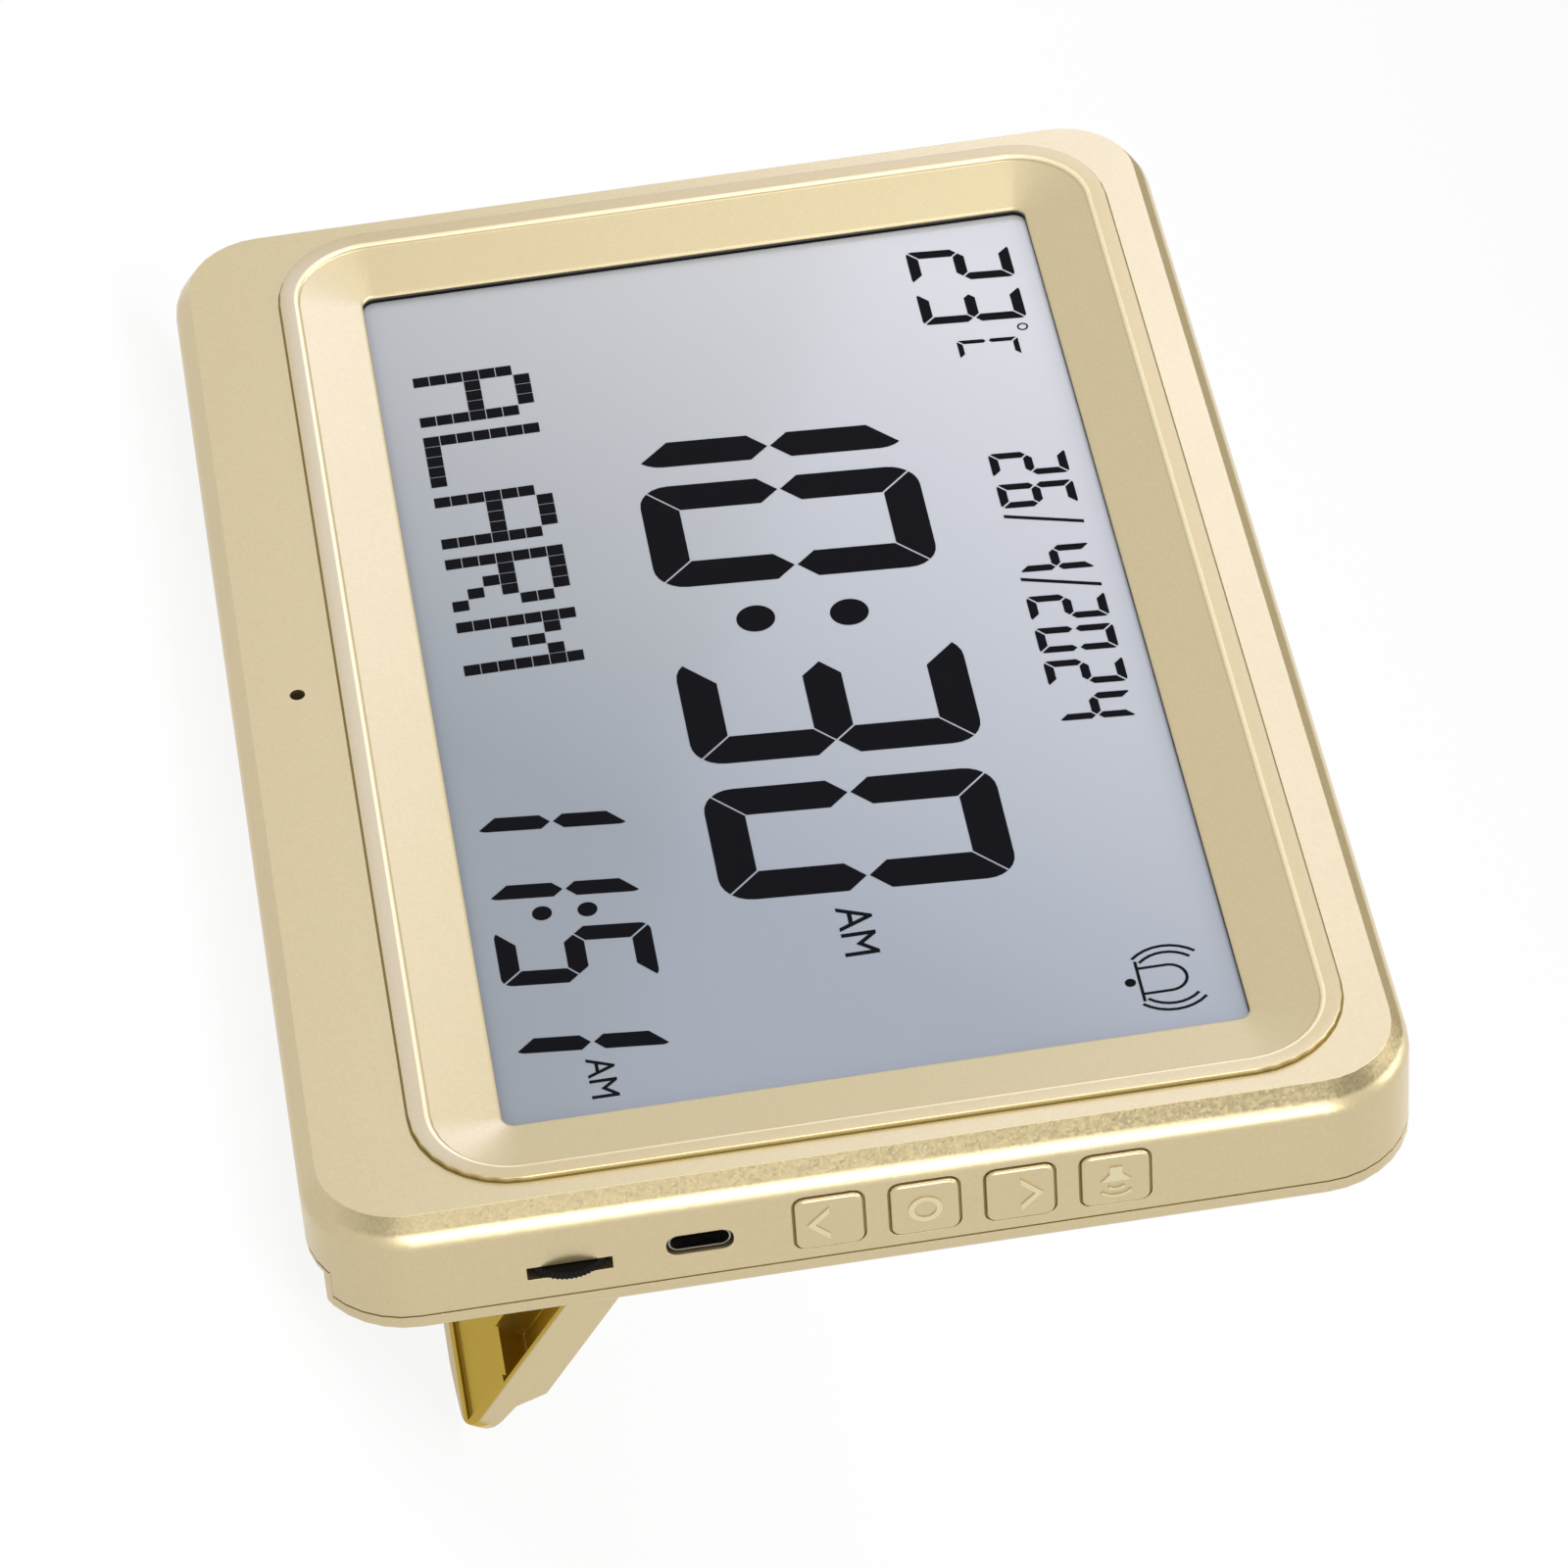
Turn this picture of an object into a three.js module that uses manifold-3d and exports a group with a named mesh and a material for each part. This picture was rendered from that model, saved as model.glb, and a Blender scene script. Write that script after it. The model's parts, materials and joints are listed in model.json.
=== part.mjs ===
// Azan clock: a wide desk clock with a framed screen, side buttons, a volume wheel and two folding feet.
// Millimetres. In the body's own frame +X is to the right, +Y runs from the front to the back,
// and +Z runs up along the screen. The whole body then leans back on its open feet.

import * as THREE from 'three';
import { mergeVertices } from 'three/addons/utils/BufferGeometryUtils.js';
import Module from 'manifold-3d';

const wasm = await Module();
wasm.setup();

// Driving dimensions of the body
const bodyWidth = 224;
const bodyHeight = 158;
const bodyDepth = 20.8;
const bodyCornerRadius = 14.5;
const wall = 2;
const frontThickness = 3;
const backThickness = 2;
const leanAngle = THREE.MathUtils.degToRad(27.3);

// Clearances: the running gap between pieces, and the overrun of cuts and joints
const gap = 0.3;
const overrun = 1;

// Front edge: a bevel, then a rounded shoulder that runs into the side wall
const bevelInset = 2.55;
const bevelDepth = 2.45;
const shoulderInset = 0.85;
const shoulderEnd = 4.9;

// Seam of the back cover, its rounded rim and its locating lip
const seamDepth = 17.7;
const backEdgeRadius = 1.3;
const lipThickness = 1.2;
const lipLength = 2.6;

// Screen window and the frame round it
const sideMargin = 5.9;
const topMargin = 8.4;
const bottomMargin = 16.6;
const windowCornerRadius = 2;
const frameWidth = 13;
const frameStand = 0.8;
const frameBandWidth = 2.2;
const frameBandDrop = 0.2;
const frameCrestWidth = 0.7;
const frameCrestDrop = 0.3;
const frameStepWidth = 0.2;
const slopeDepth = 2;
const windowLipWidth = 0.5;
const windowLipDrop = 0.15;
const frameFlangeDepth = 1.6;
const frameSkirtInset = 5.6;
const frameBackDepth = 2.9;

// Screen stack behind the frame
const glassBorder = 4;
const glassFrontBorder = 1;
const glassCornerRadius = 1;
const glassThickness = 2.6;
const glassPlateShare = 0.5;
const guideBorder = 0.8;
const guideThickness = 2;
const holderBorder = 6.5;
const holderFit = 0.4;
const stripWidth = 1.6;
const stripCentre = 2.8;
const stripEndMargin = 18.1;

// Main board with the screws that hold it
const boardDepth = 8.6;
const boardThickness = 1.6;
const boardBottom = 17.5;
const boardSideInset = 4.5;
const boardMagnetSpace = 22;
const boardLegWidth = 38;
const boardLegMargin = 14.25;
const boardScrewInset = 3;
const boardScrewRise = 4.5;
const boardScrewShelfDrop = 6;
const boardScrewLegDrop = 4;
const boardBossRadius = 2.8;
const boardScrewRadius = 1;
const boardHeadRadius = 2.2;
const boardHeadHeight = 1.2;

// Screws that hold the back cover
const coverScrewRadius = 1.25;
const coverScrewTip = 7;
const coverHeadRadius = 2.8;
const coverHeadHeight = 2;
const coverHeadSink = 0.9;
const coverBossRadius = 4.5;
const coverBossDepth = 15.2;
const coverPostRadius = 3.9;
const coverScrewFootSpace = 11.6;
const coverScrewLowHeight = 11;
const coverScrewSideInset = 14;
const coverScrewTopInset = 8.5;

// Side buttons: a cap, a flange behind the wall and a stem to its switch
const buttonHeight = 9.8;
const buttonDepth = 9.9;
const buttonCornerRadius = 1.5;
const buttonProud = 0.5;
const buttonEdge = 0.5;
const buttonCentreDepth = 10.6;
const buttonSocketSpace = 8.93;
const buttonSpace = 3.75;
const buttonFlangeMargin = 0.8;
const buttonFlangeThickness = 0.8;
const buttonStemSize = 3;
const buttonStemEnd = 4.95;
const switchReach = 5.7;
const switchBodyLength = 5.5;
const switchBodyHeight = 6;
const switchBodyDepth = 3.4;
const switchNoseRadius = 0.9;
const switchNoseLength = 1.3;

// Power socket: a steel shell with a tongue inside
const socketWidth = 8.94;
const socketThickness = 3.26;
const socketWall = 0.3;
const socketBackWall = 0.9;
const socketLength = 9;
const socketSink = 0.6;
const socketWheelSpace = 7.93;
const socketCentreDepth = 11.3;
const tongueWidth = 6.7;
const tongueThickness = 0.7;
const tongueLength = 5;

// Volume wheel in its slot, with the sensor that it turns
const wheelRadius = 6.5;
const wheelProud = 1.75;
const wheelThickness = 1.35;
const wheelCentreDepth = 12.32;
const wheelHeight = 35.85;
const wheelToothDepth = 0.22;
const wheelSlotLength = 12.1;
const wheelSlotWidth = 2.4;
const wheelSlotDepth = 12.65;
const wheelHubRadius = 1.5;
const wheelHubLength = 2.2;
const sensorSize = 10;
const sensorThickness = 2.75;
const wheelTeeth = 60;

// Folding feet, their pins and their pockets in the back cover
const footWidth = 50;
const footInset = 8;
const footDepth = 6.3;
const footFlush = 0.2;
const footBarrelRadius = 2.2;
const footPinRadius = 1;
const footHingeHeight = 46.9;
const footLength = 46.5;
const footArch = 1;
const footCornerRadius = 6;
const footOpenAngle = THREE.MathUtils.degToRad(56.6);
const footSideWall = 1.2;
const footSkin = 1.4;
const footPocketCount = 4;
const footWebLength = 4.5;
const footLedgeLength = 13;
const footLedgeSink = 0.6;
const footRimWall = 1.6;
const footGripLength = 14.2;
const footGripRamp = 4;
const footGripSink = 2.8;
const footToeLength = 5.1;
const footToeSink = 3.4;
const footTipSink = 4.8;
const footHeelHalf = 0.8;
const footSideGap = 0.4;
const pocketWall = 1.2;
const pocketFloor = 0.75;

// Light sensor behind its pinhole in the bottom margin
const pinholeRadius = 1.15;
const pinholeHeight = 10.1;
const lightSensorRadius = 2.2;
const lightSensorLength = 3;
const sensorBoardWidth = 16;
const sensorBoardHeight = 7;
const sensorBoardThickness = 1;
const sensorPostRadius = 1.2;
const sensorPostSide = 5.6;

// Loudspeaker behind its slotted grille
const speakerRadius = 25;
const speakerTopInset = 58;
const speakerDepth = 9.4;
const speakerFlangeWidth = 3;
const speakerFlangeThickness = 1;
const speakerWall = 0.8;
const speakerMagnetRadius = 14;
const speakerMagnetDepth = 4.2;
const speakerCapRadius = 7;
const speakerConeDepth = 3;
const speakerRimWall = 1.2;
const speakerRimLength = 2.8;
const grilleRadius = 22;
const grilleSlotWidth = 1.8;
const grillePitch = 4;
const slotEndShare = 0.45;

// Battery pack, and the small parts on the main board
const batteryHeight = 50;
const batteryDrop = 2.45;
const batteryThickness = 6.2;
const batteryCornerRadius = 3;
const batterySideInset = 15;
const batterySpeakerSpace = 14;
const chipSize = 14;
const chipThickness = 1.4;
const chipDrop = 0.75;
const memoryWidth = 8;
const memoryHeight = 5;
const memorySide = 24;
const crystalRadius = 1.5;
const crystalLength = 7;
const crystalSide = 16;
const thermistorRadius = 1.1;
const thermistorInset = 37.5;
const thermistorRise = 6.5;

// Counts of facets
const cornerSteps = 8;
const smallCornerSteps = 4;
const shoulderSteps = 3;
const rimSteps = 4;
const rodSteps = 20;
const smallRodSteps = 12;
const speakerSteps = 36;
const archSteps = 10;

// Values worked out from the sizes above
const halfWidth = bodyWidth / 2;
const windowWidth = bodyWidth - 2 * (sideMargin + frameWidth);
const windowBottom = bottomMargin + frameWidth;
const windowTop = bodyHeight - topMargin - frameWidth;
const stripLength = windowWidth - 2 * stripEndMargin;
const glassFront = frontThickness + gap;
const glassBack = glassFront + glassThickness;
const guideFront = glassBack + gap;
const guideBack = guideFront + guideThickness;
const boardBack = boardDepth + boardThickness;
const onBoard = boardBack + gap;
const coverInside = bodyDepth - backThickness;
const coverFront = seamDepth + gap;
const hingeDepth = bodyDepth - footFlush - footBarrelRadius;
const footInner = footDepth - footBarrelRadius;
const pocketFloorTop = hingeDepth - footInner - gap;
const pocketFloorFront = pocketFloorTop - pocketFloor;
const footOuterSide = halfWidth - footInset;
const footCentre = footOuterSide - footWidth / 2;
const heelRadius = Math.hypot(footInner, footHeelHalf);
const pocketTop = footHingeHeight + heelRadius + gap;
const pocketHalf = footWidth / 2 + footSideGap;
const wheelCentreX = halfWidth + wheelProud - wheelRadius;
const socketHeight = wheelHeight + wheelSlotLength / 2 + socketWheelSpace + socketWidth / 2;
const buttonLowest = socketHeight + socketWidth / 2 + buttonSocketSpace + buttonHeight / 2;
const buttonPitch = buttonHeight + buttonSpace;
const speakerHeight = bodyHeight - speakerTopInset;
const batteryWidth = halfWidth - batterySideInset - speakerRadius - batterySpeakerSpace;
const batterySide = halfWidth - batterySideInset - batteryWidth / 2;
const boardHalfWidth = halfWidth - boardSideInset;
const boardShelfTop = speakerHeight - speakerMagnetRadius - boardMagnetSpace;
const chipHeight = (boardBottom + boardShelfTop) / 2 - chipDrop;

// Finishes
const finishes = {
  gold: { color: 0xd9cda6, roughness: 0.38, metalness: 0.55 },
  glass: { color: 0xb4bac4, roughness: 0.15, metalness: 0.0 },
  clear: { color: 0xe8ecee, roughness: 0.3, metalness: 0.0 },
  white: { color: 0xe6e6e2, roughness: 0.6, metalness: 0.0 },
  black: { color: 0x161616, roughness: 0.5, metalness: 0.0 },
  rubber: { color: 0x2a2a2a, roughness: 0.85, metalness: 0.0 },
  board: { color: 0x1f6b3a, roughness: 0.55, metalness: 0.0 },
  steel: { color: 0xb8babc, roughness: 0.3, metalness: 0.95 },
  ferrite: { color: 0x3a3a3c, roughness: 0.7, metalness: 0.2 },
  paper: { color: 0x1f1d1b, roughness: 0.9, metalness: 0.0 },
  foil: { color: 0x7d8fa6, roughness: 0.4, metalness: 0.3 },
};

// Turns a three.js geometry into a solid with shared vertices and no collapsed triangles
function solidOf(geometry) {
  const bare = geometry.clone();
  bare.deleteAttribute('normal');
  bare.deleteAttribute('uv');
  const merged = mergeVertices(bare);
  const source = merged.index.array;
  const kept = [];
  for (let i = 0; i < source.length; i += 3) {
    const [a, b, c] = [source[i], source[i + 1], source[i + 2]];
    if (a !== b && b !== c && c !== a) kept.push(a, b, c);
  }
  const mesh = new wasm.Mesh({
    numProp: 3,
    vertProperties: new Float32Array(merged.attributes.position.array),
    triVerts: new Uint32Array(kept),
  });
  return new wasm.Manifold(mesh);
}

function geometryOf(solid) {
  const mesh = solid.getMesh();
  const geometry = new THREE.BufferGeometry();
  geometry.setAttribute('position', new THREE.BufferAttribute(new Float32Array(mesh.vertProperties), 3));
  geometry.setIndex(new THREE.BufferAttribute(new Uint32Array(mesh.triVerts), 1));
  geometry.computeVertexNormals();
  return geometry;
}

function join(...solids) {
  return solids.reduce((whole, solid) => whole.add(solid));
}

function cut(base, ...tools) {
  return tools.reduce((whole, tool) => whole.subtract(tool), base);
}

// A block between two values on each axis
function block([x0, x1], [y0, y1], [z0, z1]) {
  const geometry = new THREE.BoxGeometry(x1 - x0, y1 - y0, z1 - z0);
  return solidOf(geometry.translate((x0 + x1) / 2, (y0 + y1) / 2, (z0 + z1) / 2));
}

// A round rod along Y at a place on the face
function rodY(radius, y0, y1, x, z, steps = rodSteps) {
  const geometry = new THREE.CylinderGeometry(radius, radius, y1 - y0, steps);
  return solidOf(geometry.translate(x, (y0 + y1) / 2, z));
}

// A round rod along X at a depth and a height
function rodX(radius, x0, x1, y, z, steps = rodSteps) {
  const geometry = new THREE.CylinderGeometry(radius, radius, x1 - x0, steps);
  return solidOf(geometry.rotateZ(Math.PI / 2).translate((x0 + x1) / 2, y, z));
}

// Outlines on the face, as points (x, z) that run anticlockwise seen from the front
function roundedOutline(half, bottom, top, radius, steps = cornerSteps) {
  const corners = [[1, top - radius], [-1, top - radius], [-1, bottom + radius], [1, bottom + radius]];
  return corners.flatMap(([side, centreZ], quarter) => {
    const arc = [];
    for (let step = 0; step <= steps; step += 1) {
      const angle = (quarter + step / steps) * Math.PI / 2;
      const x = side * (half - radius) + radius * Math.cos(angle);
      arc.push(new THREE.Vector2(x, centreZ + radius * Math.sin(angle)));
    }
    return arc;
  });
}

function bodyOutline(inset) {
  return roundedOutline(halfWidth - inset, inset, bodyHeight - inset, bodyCornerRadius - inset);
}

function windowOutline(border) {
  const half = windowWidth / 2 + border;
  return roundedOutline(half, windowBottom - border, windowTop + border, windowCornerRadius + border);
}

// Joins outlines at growing depths: closed with caps, or into a ring when its profile closes on itself
function loft(sections, isRing = false) {
  const count = sections[0].points.length;
  const positions = sections.flatMap(({ points, depth }) =>
    points.flatMap((point) => [point.x, depth, point.y]));
  const indices = [];
  const bands = isRing ? sections.length : sections.length - 1;
  for (let band = 0; band < bands; band += 1) {
    const next = (band + 1) % sections.length;
    for (let i = 0; i < count; i += 1) {
      const j = (i + 1) % count;
      const [a, b, c, d] = [band * count + i, band * count + j, next * count + j, next * count + i];
      indices.push(a, c, b, a, d, c);
    }
  }
  if (!isRing) {
    const last = (sections.length - 1) * count;
    for (const [a, b, c] of THREE.ShapeUtils.triangulateShape(sections[0].points, [])) {
      indices.push(a, b, c, last + a, last + c, last + b);
    }
  }
  const geometry = new THREE.BufferGeometry();
  geometry.setAttribute('position', new THREE.Float32BufferAttribute(positions, 3));
  geometry.setIndex(indices);
  return solidOf(geometry);
}

function plate(points, y0, y1) {
  return loft([{ points, depth: y0 }, { points, depth: y1 }]);
}

function bodyRing(outerInset, innerInset, y0, y1) {
  const inner = plate(bodyOutline(innerInset), y0 - overrun, y1 + overrun);
  return cut(plate(bodyOutline(outerInset), y0, y1), inner);
}

// A profile of points (y, z) drawn along X
function prismX(profile, x0, x1) {
  const settings = { depth: x1 - x0, bevelEnabled: false };
  const geometry = new THREE.ExtrudeGeometry(new THREE.Shape(profile), settings);
  const turn = new THREE.Matrix4().set(0, 0, 1, x0, 1, 0, 0, 0, 0, 1, 0, 0, 0, 0, 0, 1);
  return solidOf(geometry.applyMatrix4(turn));
}

// A closed profile of (radius, depth) turned round an axis along Y
function turned(profile, x, z) {
  const points = profile.map(([radius, depth]) => new THREE.Vector2(radius, depth));
  const geometry = new THREE.LatheGeometry(points, speakerSteps);
  return solidOf(geometry.translate(x, 0, z));
}

function namedMesh(name, solid, finish) {
  const mesh = new THREE.Mesh(geometryOf(solid), new THREE.MeshStandardMaterial(finishes[finish]));
  mesh.name = name;
  return mesh;
}

// Places
const buttonNames = ['down', 'set', 'up', 'sound'];
const buttonPlaces = buttonNames.map((name, i) => ({ name, z: buttonLowest + i * buttonPitch }));
const boardLegTop = buttonPlaces.at(-1).z + boardLegMargin;

function coverScrewPlaces() {
  const lowSide = footCentre - pocketHalf - coverScrewFootSpace;
  const highSide = halfWidth - coverScrewSideInset;
  const high = bodyHeight - coverScrewTopInset;
  return [
    { x: -lowSide, z: coverScrewLowHeight },
    { x: lowSide, z: coverScrewLowHeight },
    { x: -highSide, z: high },
    { x: 0, z: high },
    { x: highSide, z: high },
  ];
}

function boardScrewPlaces() {
  const side = boardHalfWidth - boardScrewInset;
  const low = boardBottom + boardScrewRise;
  return [
    { x: -side, z: low },
    { x: side, z: low },
    { x: -side, z: boardShelfTop - boardScrewShelfDrop },
    { x: side, z: boardLegTop - boardScrewLegDrop },
  ];
}

// Rounded blocks that cross the right-hand side wall
function sidePlug(width, depth, radius, centreDepth, z, x0, x1) {
  const outline = roundedOutline(depth / 2, -width / 2, width / 2, radius, smallCornerSteps);
  const upright = plate(outline, -x1, -x0).rotate([0, 0, 90]);
  return upright.translate([0, centreDepth, z]);
}

// Front housing: bevelled shell with the frame's seat, bosses and the side openings
function frontHousing() {
  const shoulderDrop = shoulderEnd - bevelDepth;
  const radius = (shoulderInset ** 2 + shoulderDrop ** 2) / (2 * shoulderInset);
  const sweep = Math.asin(shoulderDrop / radius);
  const sections = [{ points: bodyOutline(bevelInset), depth: 0 }];
  for (let step = 0; step <= shoulderSteps; step += 1) {
    const angle = sweep * (1 - step / shoulderSteps);
    const inset = radius * (1 - Math.cos(angle));
    sections.push({ points: bodyOutline(inset), depth: shoulderEnd - radius * Math.sin(angle) });
  }
  sections.push({ points: bodyOutline(0), depth: seamDepth });
  const cavity = plate(bodyOutline(wall), frontThickness, seamDepth + overrun);
  const seat = plate(windowOutline(frameWidth + gap), -overrun, frameFlangeDepth + gap);
  const opening = plate(windowOutline(frameSkirtInset + gap), -overrun, frontThickness + overrun);
  const shell = cut(loft(sections), cavity, seat, opening);
  return cut(join(shell, ...housingBosses()), ...housingOpenings());
}

function housingBosses() {
  const root = frontThickness - overrun;
  const coverBosses = coverScrewPlaces().map(({ x, z }) => {
    const tube = rodY(coverPostRadius, root, coverBossDepth - gap, x, z);
    const bore = rodY(coverScrewRadius + gap, coverScrewTip - overrun, coverBossDepth, x, z, smallRodSteps);
    return cut(tube, bore);
  });
  const boardBosses = boardScrewPlaces().map(({ x, z }) => {
    const tube = rodY(boardBossRadius, root, boardDepth - gap, x, z);
    return cut(tube, rodY(boardScrewRadius + gap, frontThickness + overrun, boardDepth, x, z, smallRodSteps));
  });
  const posts = [-1, 1].map((side) => {
    const top = frontThickness + gap + lightSensorLength;
    return rodY(sensorPostRadius, root, top, side * sensorPostSide, pinholeHeight, smallRodSteps);
  });
  return [...coverBosses, ...boardBosses, ...posts];
}

function housingOpenings() {
  const [x0, x1] = [halfWidth - wall - overrun, halfWidth + overrun];
  const buttons = buttonPlaces.map(({ z }) => sidePlug(
    buttonHeight + 2 * gap, buttonDepth + 2 * gap, buttonCornerRadius + gap, buttonCentreDepth, z, x0, x1));
  const socket = sidePlug(
    socketWidth + 2 * gap, socketThickness + 2 * gap, socketThickness / 2,
    socketCentreDepth, socketHeight, x0, x1);
  const slotBottom = wheelHeight - wheelSlotLength / 2;
  const slotFront = wheelSlotDepth - wheelSlotWidth / 2;
  const slot = block(
    [x0, x1], [slotFront, slotFront + wheelSlotWidth], [slotBottom, slotBottom + wheelSlotLength]);
  const pinhole = rodY(pinholeRadius, -overrun, frontThickness + overrun, 0, pinholeHeight, rodSteps);
  const footNotches = [-1, 1].map((side) =>
    pocketBlock(side, pocketWall + gap, pocketFloorFront - gap, -overrun));
  return [...buttons, socket, slot, pinhole, ...footNotches];
}

// The space of a foot pocket, widened by a margin on its two sides and its top
function pocketBlock(side, margin, front, bottom) {
  const [inner, outer] = [footCentre - pocketHalf - margin, footCentre + pocketHalf + margin];
  const across = side > 0 ? [inner, outer] : [-outer, -inner];
  return block(across, [front, bodyDepth + overrun], [bottom, pocketTop + margin]);
}

// Screen frame: short wall, flat band, thin crest, step, wide slope and lip
function bezelRing() {
  const crest = -frameStand + frameBandDrop;
  const profile = [
    [frameWidth, -frameStand],
    [frameWidth, frameFlangeDepth],
    [frameSkirtInset, frameFlangeDepth],
    [frameSkirtInset, frameBackDepth],
    [0, frameBackDepth],
    [0, slopeDepth + windowLipDrop],
    [windowLipWidth, slopeDepth],
    [frameWidth - frameBandWidth - frameCrestWidth - frameStepWidth, 0],
    [frameWidth - frameBandWidth - frameCrestWidth, crest + frameCrestDrop],
    [frameWidth - frameBandWidth, crest],
  ];
  return loft(profile.map(([border, depth]) => ({ points: windowOutline(border), depth })), true);
}

// Screen: two glass plates, the lower one longer where the contact strip reaches it
function glassOutline(margin, bottom) {
  const half = windowWidth / 2 + glassBorder + margin;
  return roundedOutline(half, bottom, windowTop + glassBorder + margin, glassCornerRadius + margin);
}

function lcdPanel() {
  const split = glassFront + glassThickness * glassPlateShare;
  const front = plate(glassOutline(0, windowBottom - glassFrontBorder), glassFront, split);
  return join(front, plate(glassOutline(0, windowBottom - glassBorder), split, glassBack));
}

function lightGuide() {
  return plate(windowOutline(guideBorder), guideFront, guideBack);
}

function stripSlot(margin, y0, y1) {
  const centre = windowBottom - stripCentre;
  const half = stripWidth / 2 + margin;
  const reach = stripLength / 2 + margin;
  return block([-reach, reach], [y0, y1], [centre - half, centre + half]);
}

// White holder that carries the screen, the light guide and the contact strip
function displayHolder() {
  const outer = plate(windowOutline(holderBorder), glassFront, guideBack);
  const glassBottom = windowBottom - glassBorder - holderFit;
  const forGlass = plate(glassOutline(holderFit, glassBottom), glassFront - overrun, guideFront);
  const forGuide = plate(windowOutline(guideBorder + holderFit), glassFront - overrun, guideBack + overrun);
  return cut(outer, forGlass, forGuide, stripSlot(gap, glassFront, guideBack + overrun));
}

// Main board: a wide shelf with a leg behind the side buttons, cleared where a post of the cover would pass
function mainBoard() {
  const legLeft = boardHalfWidth - boardLegWidth;
  const shelf = block(
    [-boardHalfWidth, boardHalfWidth], [boardDepth, boardBack], [boardBottom, boardShelfTop]);
  const leg = block([legLeft, boardHalfWidth], [boardDepth, boardBack], [boardBottom, boardLegTop]);
  const holes = boardScrewPlaces().map(({ x, z }) => rodY(
    boardScrewRadius + gap, boardDepth - overrun, boardBack + overrun, x, z, smallRodSteps));
  const posts = coverScrewPlaces().map(({ x, z }) => rodY(
    coverPostRadius + gap, boardDepth - overrun, boardBack + overrun, x, z));
  const socketNotch = block(
    [halfWidth - socketSink - socketLength - gap, halfWidth],
    [boardDepth - overrun, boardBack + overrun],
    [socketHeight - socketWidth / 2 - gap, socketHeight + socketWidth / 2 + gap]);
  const sensorNotch = block(
    [wheelCentreX - sensorSize / 2 - gap, halfWidth],
    [boardDepth - overrun, boardBack + overrun],
    [wheelHeight - sensorSize / 2 - gap, wheelHeight + sensorSize / 2 + gap]);
  return cut(join(shelf, leg), ...holes, ...posts, socketNotch, sensorNotch);
}

// Small parts that sit on the main board
function boardChip(width, height, x, z) {
  return block(
    [x - width / 2, x + width / 2], [onBoard, onBoard + chipThickness], [z - height / 2, z + height / 2]);
}

function crystalCan() {
  const depth = onBoard + crystalRadius;
  return rodX(crystalRadius, -crystalSide - crystalLength, -crystalSide, depth, chipHeight, smallRodSteps);
}

function thermistorBead() {
  const geometry = new THREE.SphereGeometry(thermistorRadius, smallRodSteps, rimSteps * 2);
  const side = boardHalfWidth - thermistorInset;
  return solidOf(geometry.translate(-side, onBoard + thermistorRadius, boardBottom + thermistorRise));
}

function tactSwitch(z) {
  const tip = halfWidth - switchReach;
  const front = tip - switchNoseLength;
  const body = block(
    [front - switchBodyLength, front],
    [onBoard, onBoard + switchBodyDepth],
    [z - switchBodyHeight / 2, z + switchBodyHeight / 2]);
  const depth = onBoard + switchBodyDepth / 2;
  return join(body, rodX(switchNoseRadius, front - overrun, tip, depth, z, smallRodSteps));
}

// Side button, built with its face towards -Y and its travel along +Y
function sideButton() {
  const softSteps = rimSteps / 2;
  const sections = [];
  for (let step = 0; step <= softSteps; step += 1) {
    const angle = (step / softSteps) * Math.PI / 2;
    const inset = buttonEdge * (1 - Math.sin(angle));
    const half = buttonDepth / 2 - inset;
    const reach = buttonHeight / 2 - inset;
    const depth = -buttonProud + buttonEdge * (1 - Math.cos(angle));
    const points = roundedOutline(half, -reach, reach, buttonCornerRadius - inset, smallCornerSteps);
    sections.push({ points, depth });
  }
  const flangeFront = wall + gap;
  const flangeBack = flangeFront + buttonFlangeThickness;
  sections.push({ points: sections.at(-1).points, depth: flangeBack });
  const flangeHalf = buttonDepth / 2 + buttonFlangeMargin;
  const flangeReach = buttonHeight / 2 + buttonFlangeMargin;
  const flangeOutline = roundedOutline(
    flangeHalf, -flangeReach, flangeReach, buttonCornerRadius, smallCornerSteps);
  const flange = plate(flangeOutline, flangeFront, flangeBack);
  const stemHalf = buttonStemSize / 2;
  const offset = onBoard + switchBodyDepth / 2 - buttonCentreDepth;
  const stem = block([offset - stemHalf, offset + stemHalf], [wall, buttonStemEnd], [-stemHalf, stemHalf]);
  return join(loft(sections), flange, stem);
}

// Power socket shell, open at the side wall and closed behind
function socketOutlinePlug(shrink, x0, x1) {
  const width = socketWidth - 2 * shrink;
  const thickness = socketThickness - 2 * shrink;
  return sidePlug(width, thickness, thickness / 2 - shrink / 2, socketCentreDepth, socketHeight, x0, x1);
}

function socketShell() {
  const mouth = halfWidth - socketSink;
  const shell = socketOutlinePlug(0, mouth - socketLength, mouth);
  return cut(shell, socketOutlinePlug(socketWall, mouth - socketLength + socketBackWall, mouth + overrun));
}

function socketTongue() {
  const root = halfWidth - socketSink - socketLength + socketBackWall + gap;
  const half = tongueWidth / 2;
  const depth = socketCentreDepth - tongueThickness / 2;
  return block(
    [root, root + tongueLength], [depth, depth + tongueThickness],
    [socketHeight - half, socketHeight + half]);
}

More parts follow.
